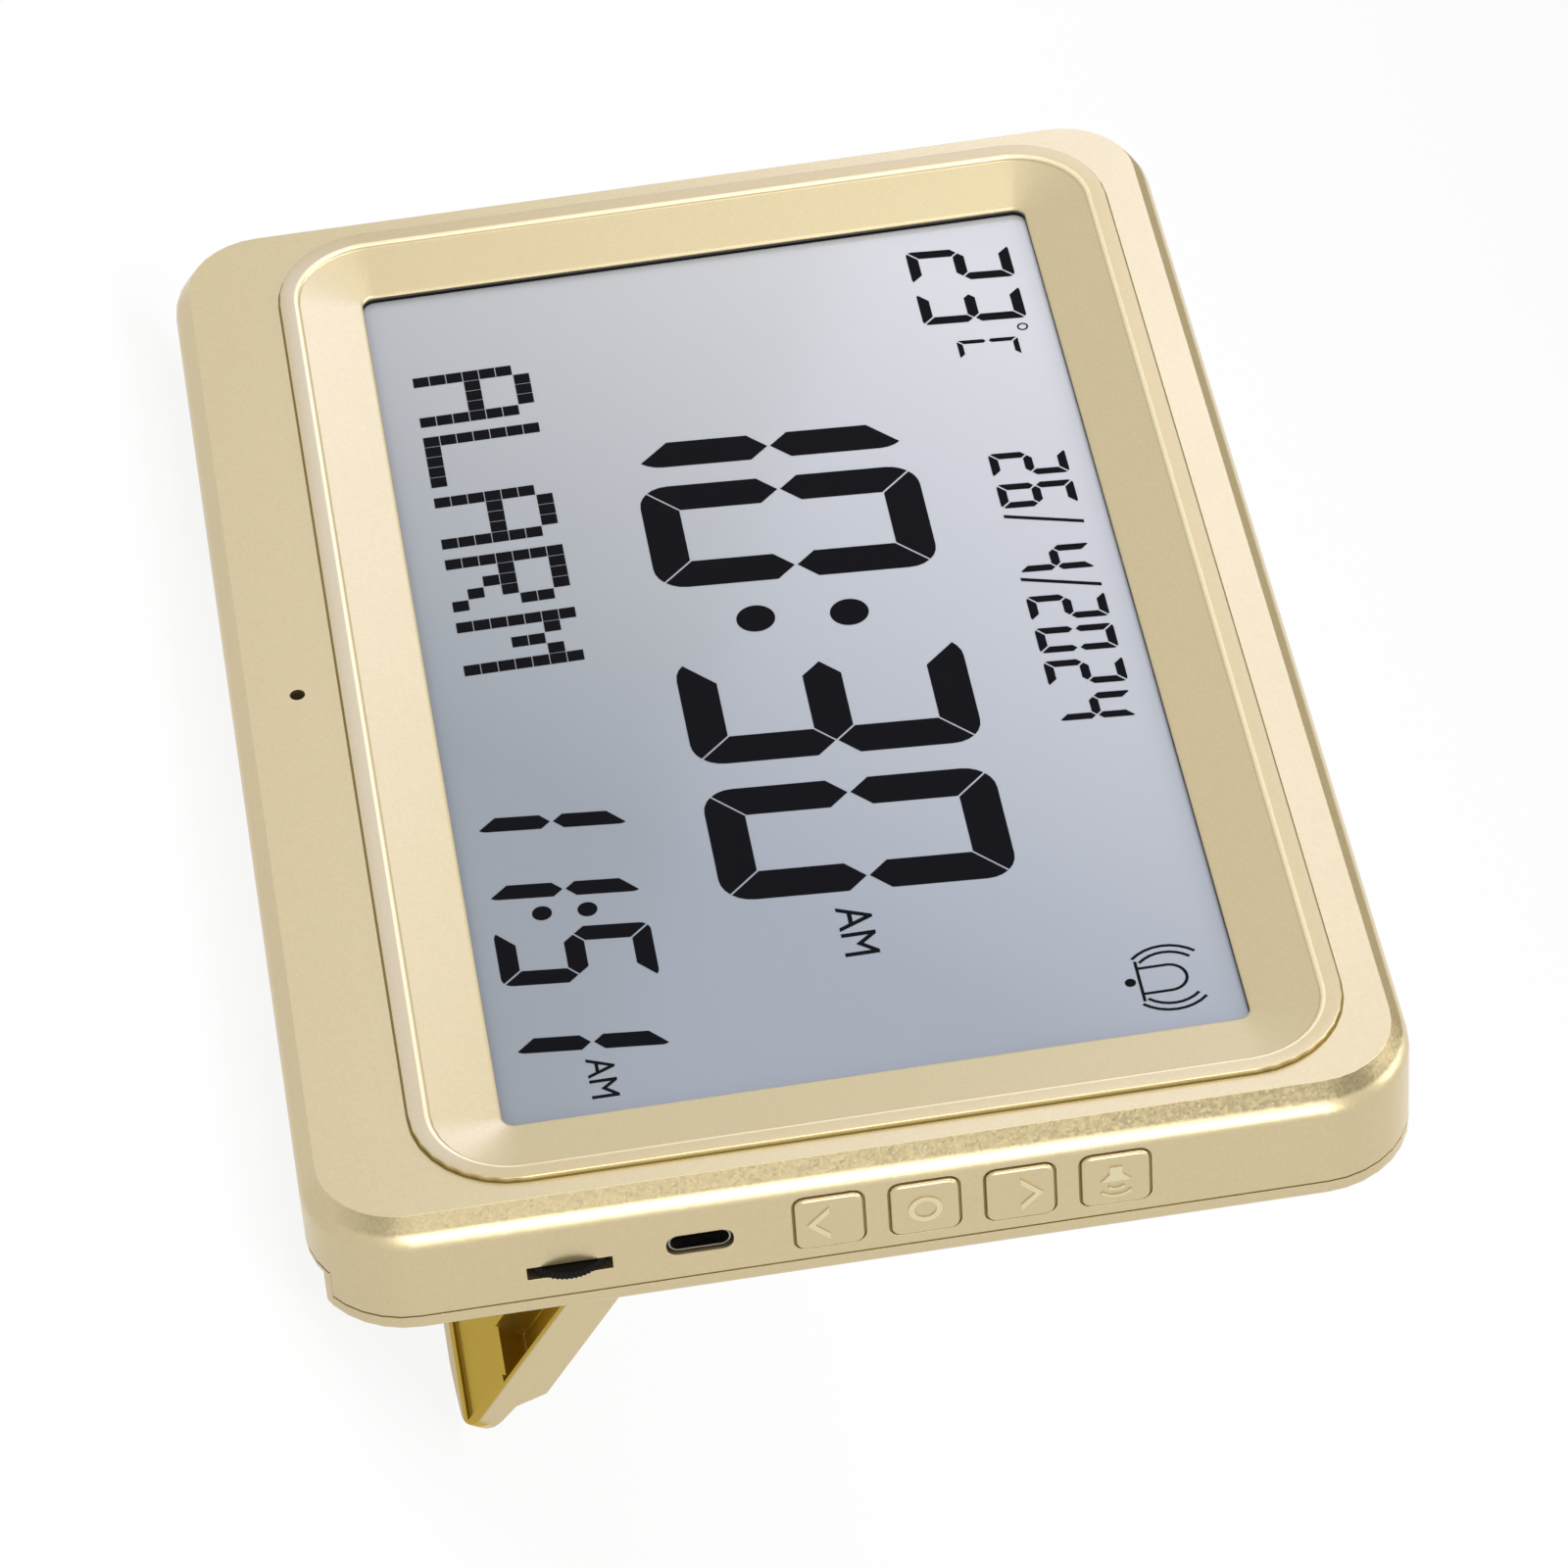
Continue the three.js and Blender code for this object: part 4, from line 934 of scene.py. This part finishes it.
# %% AM signs and the bell
MORNING_SIGNS = [("AM", 0.1702, 0.0822, 0.0074), ("AM", 0.1932, 0.0427, 0.0058)]
BELL_PLACE = (0.1938, 0.1268)
BELL_RADIUS = 0.0028
BELL_LINE = 0.00045
BELL_LEG = 0.004
BELL_SILL = 0.0081
CLAPPER_RADIUS = 0.0008
BELL_SOUND = (0.0054, 0.0067)


def add_words(target, words, left, bottom, size):
    curve = bpy.data.curves.new("words", "FONT")
    curve.body = words
    curve.size = size
    holder = bpy.data.objects.new("words", curve)
    mesh = bpy.data.meshes.new_from_object(holder)
    bpy.data.objects.remove(holder)
    shape = bmesh.new()
    shape.from_mesh(mesh)
    bpy.data.meshes.remove(mesh)
    add_shape(target, shape, Matrix.Translation((left, bottom, 0)))


def add_bell(target, x, y):
    upwards = (0, 1)
    add_shape(target, ring(BELL_RADIUS, BELL_LINE, (upwards,)), Matrix.Translation((x, y, 0)))
    for left in (x - BELL_RADIUS, x + BELL_RADIUS - BELL_LINE):
        add_plate(target, left, y - BELL_LEG, BELL_LINE, BELL_LEG)
    add_plate(target, x - BELL_SILL / 2, y - BELL_LEG - BELL_LINE, BELL_SILL, BELL_LINE)
    add_dot(target, x, y - BELL_LEG - CLAPPER_RADIUS * 2, CLAPPER_RADIUS)
    for radius in BELL_SOUND:
        for side in (1, -1):
            arc = ring(radius, BELL_LINE, ((side, 1), (side, -1)))
            add_shape(target, arc, Matrix.Translation((x, y, 0)))


for sign in MORNING_SIGNS:
    add_words(screen_marks, *sign)
add_bell(screen_marks, *BELL_PLACE)
print("faces on the screen:", len(screen_marks.faces))

# %% [markdown]
# All the marks are flat until now. They are given a hair's thickness and stood upright just in
# front of the glass, whose front side is 3.3 mm behind the margin. The liquid crystal turns
# them nearly black, with a faint blue.

# %% Stand the marks on the glass
HALF_WIDTH = 0.112
GLASS_FRONT = 0.0033
MARK_GAP = 0.00002
UPRIGHT = Matrix.Rotation(math.radians(90), 4, "X")
marks_ink = plain("screen_marks_black", colour=(0.004, 0.004, 0.006), roughness=0.5, shine=0.03)

thicken(screen_marks, SEGMENT_DEPTH)
place_shape(screen_marks, Matrix.Translation((-HALF_WIDTH, GLASS_FRONT - MARK_GAP, 0)) @ UPRIGHT)
screen_digits = finish_piece(screen_marks, "screen_digits", marks_ink)
print("screen digits:", len(screen_digits.data.polygons), "faces")

# %% [markdown]
# A thin black foam frame fills the gap between the glass and the frame, and keeps light and dust
# out. It shows as a dark line at the foot of the slope. It is a rounded plate with its middle
# taken out, a little larger than the window.

# %% Screen gasket
RING_STEPS = 8
GASKET_WIDTH = 0.0004
GASKET_DEPTHS = (0.00292, 0.00328)


def rounded_ring(half, bottom, top, radius, line, depths):
    """A ring of even width along a rounded rectangle, between two depths of the body."""
    shape = rounded_plate(half * 2, top - bottom, radius, RING_STEPS)
    hollow(shape, line)
    thicken(shape, depths[1] - depths[0])
    place_shape(shape, Matrix.Translation((-half, depths[1], bottom)) @ UPRIGHT)
    return shape


def window_ring(border, line, depths):
    """A ring whose outer side keeps an even distance from the window."""
    return rounded_ring(
        SCREEN_HALF_WIDTH + border, SCREEN_BOTTOM - border, SCREEN_TOP + border, WINDOW_RADIUS + border,
        line, depths,
    )


gasket = finish_piece(
    window_ring(GASKET_WIDTH, GASKET_WIDTH, GASKET_DEPTHS), "screen_gasket", FINISHES["strip_rubber"],
)
print("gasket faces:", len(gasket.data.polygons))

# %% [markdown]
# Where two mouldings meet there is a narrow joint. A thin bead lies a little below the surface in each joint:
# round the screen frame, in the seam of the back cover and round each button. Its darker gold is painted
# shade, for the dim light down in the joint, so the joint looks deep gold and not black.

# %% Beads in the joints
BEAD_PLAY = 0.00003
BEAD_WIDTH = 0.00024
FRAME_BORDER = 0.0133
FRAME_BEAD = (0.00004, 0.0014)
BODY_HEIGHT = 0.158
BODY_RADIUS = 0.0145
SEAM_SINK = 0.00012
SEAM_BEAD = (0.01772, 0.01798)
POCKET_SIDES = (0.0518, 0.1062)
POCKET_RIM = 0.004


def cross_pocket(face):
    middle = face.calc_center_median()
    return middle.z < POCKET_RIM and POCKET_SIDES[0] < abs(middle.x) < POCKET_SIDES[1]


def seam_bead():
    """The seam's bead stops at the two foot pockets, which are open below."""
    shape = rounded_ring(
        HALF_WIDTH - SEAM_SINK, SEAM_SINK, BODY_HEIGHT - SEAM_SINK, BODY_RADIUS - SEAM_SINK,
        BEAD_WIDTH * 2, SEAM_BEAD,
    )
    for side in (-1, 1):
        for stop in POCKET_SIDES:
            cut_plane(shape, (side * stop, 0, 0), (1, 0, 0))
    bmesh.ops.delete(shape, geom=[face for face in shape.faces if cross_pocket(face)], context="FACES")
    bmesh.ops.holes_fill(shape, edges=shape.edges)
    return shape


BEADS = {
    "frame_bead": window_ring(FRAME_BORDER - BEAD_PLAY, BEAD_WIDTH, FRAME_BEAD),
    "seam_bead": seam_bead(),
}
for bead_name, bead in BEADS.items():
    piece = finish_piece(bead, bead_name, joint_shade_paint)
    print(piece.name, len(piece.data.polygons), "faces")

# %% [markdown]
# The buttons carry raised marks moulded into their caps: an arrow down, a ring to set, an arrow up and a
# loudspeaker. The marks are thin plates on the caps, and each moves with its own button. They are painted
# paler than the caps, a painted highlight on their raised faces.

# %% Raised marks on the buttons
CAP_FACE = 0.1125
CAP_DEPTH = 0.0106
CAP_LOWEST = 0.0726
CAP_PITCH = 0.01355
MARK_RISE = 0.0002
MARK_LINE = 0.0008
ARROW_SIDE = 0.0045
SET_RADIUS = 0.0024
HORN = (0.0014, 0.0018, 0.0044)
SOUND_RADII = (0.0018, 0.0032)
SOUND_SIDES = ((1, 1), (1, -1))
EIGHTH_TURN = math.radians(45)
CAP_TURN = Matrix.Rotation(math.radians(90), 4, "Z") @ UPRIGHT


def arrow(direction):
    shape = rounded_plate(ARROW_SIDE, ARROW_SIDE, 0)
    hollow(shape, MARK_LINE)
    place_shape(shape, Matrix.Translation((-ARROW_SIDE / 2, -ARROW_SIDE / 2, 0)))
    place_shape(shape, Matrix.Rotation(EIGHTH_TURN, 4, "Z"))
    keep_side(shape, (0, 0), (0, direction))
    return shape


def loudspeaker():
    box_width, box_height, horn_height = HORN
    shape = ring(SOUND_RADII[0], MARK_LINE / 2, SOUND_SIDES)
    add_shape(shape, ring(SOUND_RADII[1], MARK_LINE / 2, SOUND_SIDES), Matrix.Identity(4))
    add_plate(shape, -box_width * 2, -box_height / 2, box_width, box_height)
    horn = rounded_plate(box_width, box_height, 0)
    for vertex in horn.verts:
        if vertex.co.x > 0:
            vertex.co.y = box_height / 2 + (vertex.co.y / box_height - HALF_UNIT) * horn_height
    add_shape(shape, horn, Matrix.Translation((-box_width, -box_height / 2, 0)))
    return shape


def put_mark(shape, place, index):
    thicken(shape, MARK_RISE)
    middle = Vector((CAP_FACE, CAP_DEPTH, CAP_LOWEST + index * CAP_PITCH))
    place_shape(shape, Matrix.Translation(middle) @ CAP_TURN)
    return finish_piece(shape, f"{place}_mark", mark_highlight_paint, f"{place}_key")


BUTTON_MARKS = {"down": arrow(-1), "set": ring(SET_RADIUS, MARK_LINE), "up": arrow(1), "sound": loudspeaker()}
for index, (place, shape) in enumerate(BUTTON_MARKS.items()):
    print(put_mark(shape, place, index).name)

# %% [markdown]
# The same kind of bead, in the same painted shade, lies round each button, fixed to the housing, so the caps
# slide in it.

# %% Beads round the buttons
CAP_OPENING = (0.01034, 0.01044)
CAP_OPENING_RADIUS = 0.0018
CAP_BEAD = (0.1109, 0.11172)


def button_beads():
    whole = bmesh.new()
    height, depth = CAP_OPENING
    for index in range(len(BUTTON_MARKS)):
        shape = rounded_plate(depth, height, CAP_OPENING_RADIUS)
        hollow(shape, BEAD_WIDTH)
        thicken(shape, CAP_BEAD[1] - CAP_BEAD[0])
        corner = Vector((CAP_BEAD[0], CAP_DEPTH - depth / 2, CAP_LOWEST + index * CAP_PITCH - height / 2))
        add_shape(whole, shape, Matrix.Translation(corner) @ CAP_TURN)
    return finish_piece(whole, "button_beads", joint_shade_paint)


print(button_beads().name)

# %% [markdown]
# The back cover is held by screws with a cross recess. A screw is round, so its half outline, of
# tip, shank and head, is spun once round its axis, and the rim of the head is bevelled. The cross
# is cut out with a boolean: two small plates on edge, crossing at a right angle. Each screw takes
# the place of the plain one of the frame.

# %% Screws with a cross recess
SCREW_STEPS = 48
SHANK_RADIUS = 0.00125
HEAD_HEIGHT = 0.002
HEAD_RIM = 0.0005
HEAD_RIM_STEPS = 4
CROSS_LENGTH = 0.0031
CROSS_WIDTH = 0.0007
CROSS_DEPTH = 0.0009
CROSS_REACH = 0.0005
COVER_SCREWS = [f"back_screw_{number}" for number in range(1, 6)]


def body_box(name):
    """Lowest and highest corner of a solid in the body's own frame."""
    inverse = BODY.inverted()
    points = [inverse @ vertex.co for vertex in NODES[name].data.vertices]
    low = Vector([min(point[axis] for point in points) for axis in range(3)])
    high = Vector([max(point[axis] for point in points) for axis in range(3)])
    return low, high


def turned_screw(radius, tip, top):
    """A screw whose axis is the depth, from its tip to the top of its head."""
    under = top - HEAD_HEIGHT
    outline = [(0, tip), (SHANK_RADIUS, tip), (SHANK_RADIUS, under), (radius, under), (radius, top), (0, top)]
    shape = bmesh.new()
    points = [shape.verts.new((across, depth, 0)) for across, depth in outline]
    edges = [shape.edges.new(pair) for pair in zip(points, points[1:])]
    bmesh.ops.spin(
        shape, geom=points + edges, cent=(0, 0, 0), axis=(0, 1, 0), angle=math.tau, steps=SCREW_STEPS,
        use_merge=True,
    )
    bmesh.ops.remove_doubles(shape, verts=shape.verts, dist=WELD_DISTANCE)
    bmesh.ops.recalc_face_normals(shape, faces=shape.faces)
    return shape


def round_rim(shape, radius, top):
    """Bevels the outer edge of a screw's head."""
    inner = radius - WELD_DISTANCE
    outer = {vertex for vertex in shape.verts if math.hypot(vertex.co.x, vertex.co.z) > inner}
    upper = {vertex for vertex in outer if vertex.co.y > top - WELD_DISTANCE}
    rim = [edge for edge in shape.edges if upper.issuperset(edge.verts)]
    bmesh.ops.bevel(
        shape, geom=rim, offset=HEAD_RIM, offset_type="OFFSET", affect="EDGES", segments=HEAD_RIM_STEPS,
        profile=0.5, material=-1,
    )


def cross_cutter(middle, top):
    shape = bmesh.new()
    for width, height in ((CROSS_LENGTH, CROSS_WIDTH), (CROSS_WIDTH, CROSS_LENGTH)):
        arm = bmesh.new()
        bmesh.ops.create_cube(arm, size=1)
        add_shape(shape, arm, Matrix.Diagonal((width, CROSS_DEPTH + CROSS_REACH, height, 1)))
    depth = top - CROSS_DEPTH / 2 + CROSS_REACH / 2
    place_shape(shape, Matrix.Translation((middle.x, depth, middle.z)))
    return shape


def cut_out(shape, cutter_shape):
    """A bmesh with another one taken out of it."""
    target = new_object("target", mesh_from(shape, "target"))
    cutter = new_object("cutter", mesh_from(cutter_shape, "cutter"))
    cut = target.modifiers.new("cut", "BOOLEAN")
    cut.object = cutter
    cut.use_self = True
    evaluated = target.evaluated_get(bpy.context.evaluated_depsgraph_get())
    result = bmesh.new()
    result.from_mesh(evaluated.data)
    for helper in (target, cutter):
        mesh = helper.data
        bpy.data.objects.remove(helper)
        bpy.data.meshes.remove(mesh)
    return result


def cover_screw(node_name):
    low, high = body_box(node_name)
    middle = (low + high) / 2
    radius = (high.x - low.x) / 2
    shape = turned_screw(radius, low.y, high.y)
    round_rim(shape, radius, high.y)
    place_shape(shape, Matrix.Translation((middle.x, 0, middle.z)))
    return cut_out(shape, cross_cutter(middle, high.y))


for node_name in COVER_SCREWS:
    screw = finish_piece(
        cover_screw(node_name), f"cross_{node_name}", FINISHES["bright_steel"]
    )
    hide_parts(node_name)
    print(screw.name, len(screw.data.polygons), "faces")

# %% [markdown]
# Behind the slots of the grille lies a black cloth that keeps dust off the loudspeaker. It is a
# thin disc, and its weave is two crossed waves of bump.

# %% Speaker cloth
CLOTH_RADIUS = 0.0232
CLOTH_FRONT = 0.01858
CLOTH_THICKNESS = 0.00012
GRILLE_HEIGHT = 0.1
CLOTH_STEPS = 64
THREAD = 0.0005
THREAD_DEPTH = THREAD / 4
WEAVE_STRENGTH = 0.6
CLOTH_ROUGHNESS = 0.9
CLOTH_SHEEN = 0.3
CLOTH_DARK = (0.008, 0.008, 0.008, 1)
CLOTH_PALE = (0.035, 0.034, 0.032, 1)


def woven_cloth():
    material, tree, shader = new_material(
        "speaker_cloth", Roughness=CLOTH_ROUGHNESS, Sheen_Weight=CLOTH_SHEEN
    )
    place = place_in(tree, BODY)
    turns = math.tau / THREAD
    waves = [math_node(tree, "SINE", math_node(tree, "MULTIPLY", place[axis], turns)) for axis in "XZ"]
    weave = math_node(tree, "MULTIPLY", *waves)
    level = remap(tree, weave, -1.0, 1.0)
    bump = add_node(
        tree, "ShaderNodeBump", Strength=WEAVE_STRENGTH, Height=level, Distance=THREAD_DEPTH
    )
    feed(tree, shader.inputs["Base Color"], mix_colour(tree, level, CLOTH_DARK, CLOTH_PALE))
    feed(tree, shader.inputs["Normal"], bump.outputs["Normal"])
    return material


def make_cloth():
    shape = bmesh.new()
    bmesh.ops.create_circle(shape, cap_ends=True, segments=CLOTH_STEPS, radius=CLOTH_RADIUS)
    thicken(shape, CLOTH_THICKNESS)
    place = Matrix.Translation((0, CLOTH_FRONT + CLOTH_THICKNESS, GRILLE_HEIGHT))
    place_shape(shape, place @ UPRIGHT)
    return finish_piece(shape, "speaker_cloth", woven_cloth())


cloth = make_cloth()
print("cloth faces:", len(cloth.data.polygons))

# %% [markdown]
# The tongue of the power socket carries a row of gilt contacts on both faces. They are thin
# plates, repeated at the standard pitch of half a millimetre.

# %% Socket contacts
CONTACT_COUNT = 12
CONTACT_PITCH = 0.0005
CONTACT_WIDTH = 0.00028
CONTACT_LENGTH = 0.0032
CONTACT_THICKNESS = 0.00003
CONTACT_SINK = 0.0004
contact_gilt = plain("contact_gilt", colour=(0.85, 0.58, 0.2), roughness=0.25, metallic=1.0)


def make_contacts():
    low, high = body_box("usb_socket_tongue")
    middle = (low + high) / 2
    across = high.x - CONTACT_SINK - CONTACT_LENGTH / 2
    shape = bmesh.new()
    for index in range(CONTACT_COUNT):
        rise = (index - (CONTACT_COUNT - 1) / 2) * CONTACT_PITCH
        for side in (low.y - CONTACT_THICKNESS, high.y):
            plate = bmesh.new()
            bmesh.ops.create_cube(plate, size=1)
            place_shape(plate, Matrix.Diagonal((CONTACT_LENGTH, CONTACT_THICKNESS, CONTACT_WIDTH, 1)))
            place = Vector((across, side + CONTACT_THICKNESS / 2, middle.z + rise))
            add_shape(shape, plate, Matrix.Translation(place))
    return finish_piece(shape, "socket_contacts", contact_gilt)


contacts = make_contacts()
print("contact faces:", len(contacts.data.polygons))

# %% [markdown]
# The stage is a wide pale floor and a white world. To the camera and in reflections both are
# plain white, but the floor still shows the clock's shadow faintly, because a tenth of its look is
# a plain diffuse surface. The light on the clock itself comes at a plain level.

# %% Floor and world
FLOOR_SIZE = 6
FLOOR_COLOUR = (0.82, 0.82, 0.81, 1)
FLOOR_ROUGHNESS = 0.9
FLOOR_GLOW = 0.9
WORLD_LIGHT = 0.55
WORLD_COLOUR = (1.0, 1.0, 1.0, 1)


def seen_directly(tree):
    """One for camera, mirror and glass rays, and nothing for the light that falls on things."""
    rays = tree.nodes.new("ShaderNodeLightPath").outputs
    seen = math_node(tree, "MAXIMUM", rays["Is Camera Ray"], rays["Is Glossy Ray"])
    return math_node(tree, "MAXIMUM", seen, rays["Is Transmission Ray"])


def floor_material():
    material, tree, shader = new_material(
        "pale_floor", Base_Color=FLOOR_COLOUR, Roughness=FLOOR_ROUGHNESS
    )
    glow = add_node(tree, "ShaderNodeEmission", Color=WORLD_COLOUR, Strength=1.0)
    share = math_node(tree, "MULTIPLY", seen_directly(tree), FLOOR_GLOW)
    mixer = add_node(tree, "ShaderNodeMixShader", Fac=share)
    tree.links.new(shader.outputs[0], mixer.inputs[1])
    tree.links.new(glow.outputs[0], mixer.inputs[2])
    tree.links.new(mixer.outputs[0], tree.nodes["Material Output"].inputs["Surface"])
    return material


def make_floor():
    shape = bmesh.new()
    bmesh.ops.create_grid(shape, x_segments=1, y_segments=1, size=FLOOR_SIZE / 2)
    mesh = mesh_from(shape, "floor")
    mesh.materials.append(floor_material())
    new_object("floor", mesh)


def make_world():
    world = bpy.data.worlds.new("studio")
    world.use_nodes = True
    tree = world.node_tree
    strength = by_mask(tree, seen_directly(tree), WORLD_LIGHT, 1.0)
    background = tree.nodes["Background"]
    background.inputs["Color"].default_value = WORLD_COLOUR
    feed(tree, background.inputs["Strength"], strength)
    bpy.context.scene.world = world


make_floor()
make_world()
print("floor and world ready")

# %% [markdown]
# Four soft lamps shape the clock. A wide one above the viewer lights its face, a narrow cooler one
# on the left shines in the paint of the margin, one on the right draws the bright line along the
# shoulder, and one overhead fills the rest.

# %% Soft lamps
DAYLIGHT = (1.0, 1.0, 1.0)
COOL_LIGHT = (0.62, 0.68, 1.0)
LAMPS = {
    "key_softbox": dict(place=(-0.2, -1.6, 1.9), sides=(1.6, 1.6), power=20, colour=DAYLIGHT),
    "sheen_softbox": dict(place=(-1.76, -1.04, 1.11), sides=(1.1, 0.42), power=3.4, colour=COOL_LIGHT),
    "shoulder_softbox": dict(place=(1.43, -0.12, 0.17), sides=(1.25, 0.55), power=10, colour=DAYLIGHT),
    "top_softbox": dict(place=(0, 0.5, 2.2), sides=(1.8, 1.8), power=25, colour=DAYLIGHT),
}
AIM = Vector((0, 0, 0.07))


def make_lamp(name, place, sides, power, colour):
    data = bpy.data.lights.new(name, "AREA")
    set_all(data, shape="RECTANGLE", size=sides[0], size_y=sides[1], energy=power, color=colour)
    lamp = new_object(name, data)
    lamp.location = place
    lamp.rotation_euler = (AIM - Vector(place)).to_track_quat("-Z", "Y").to_euler()


for lamp_name, lamp_values in LAMPS.items():
    make_lamp(lamp_name, **lamp_values)
bpy.context.scene.view_settings.view_transform = "Standard"
print("lamps:", len(LAMPS))
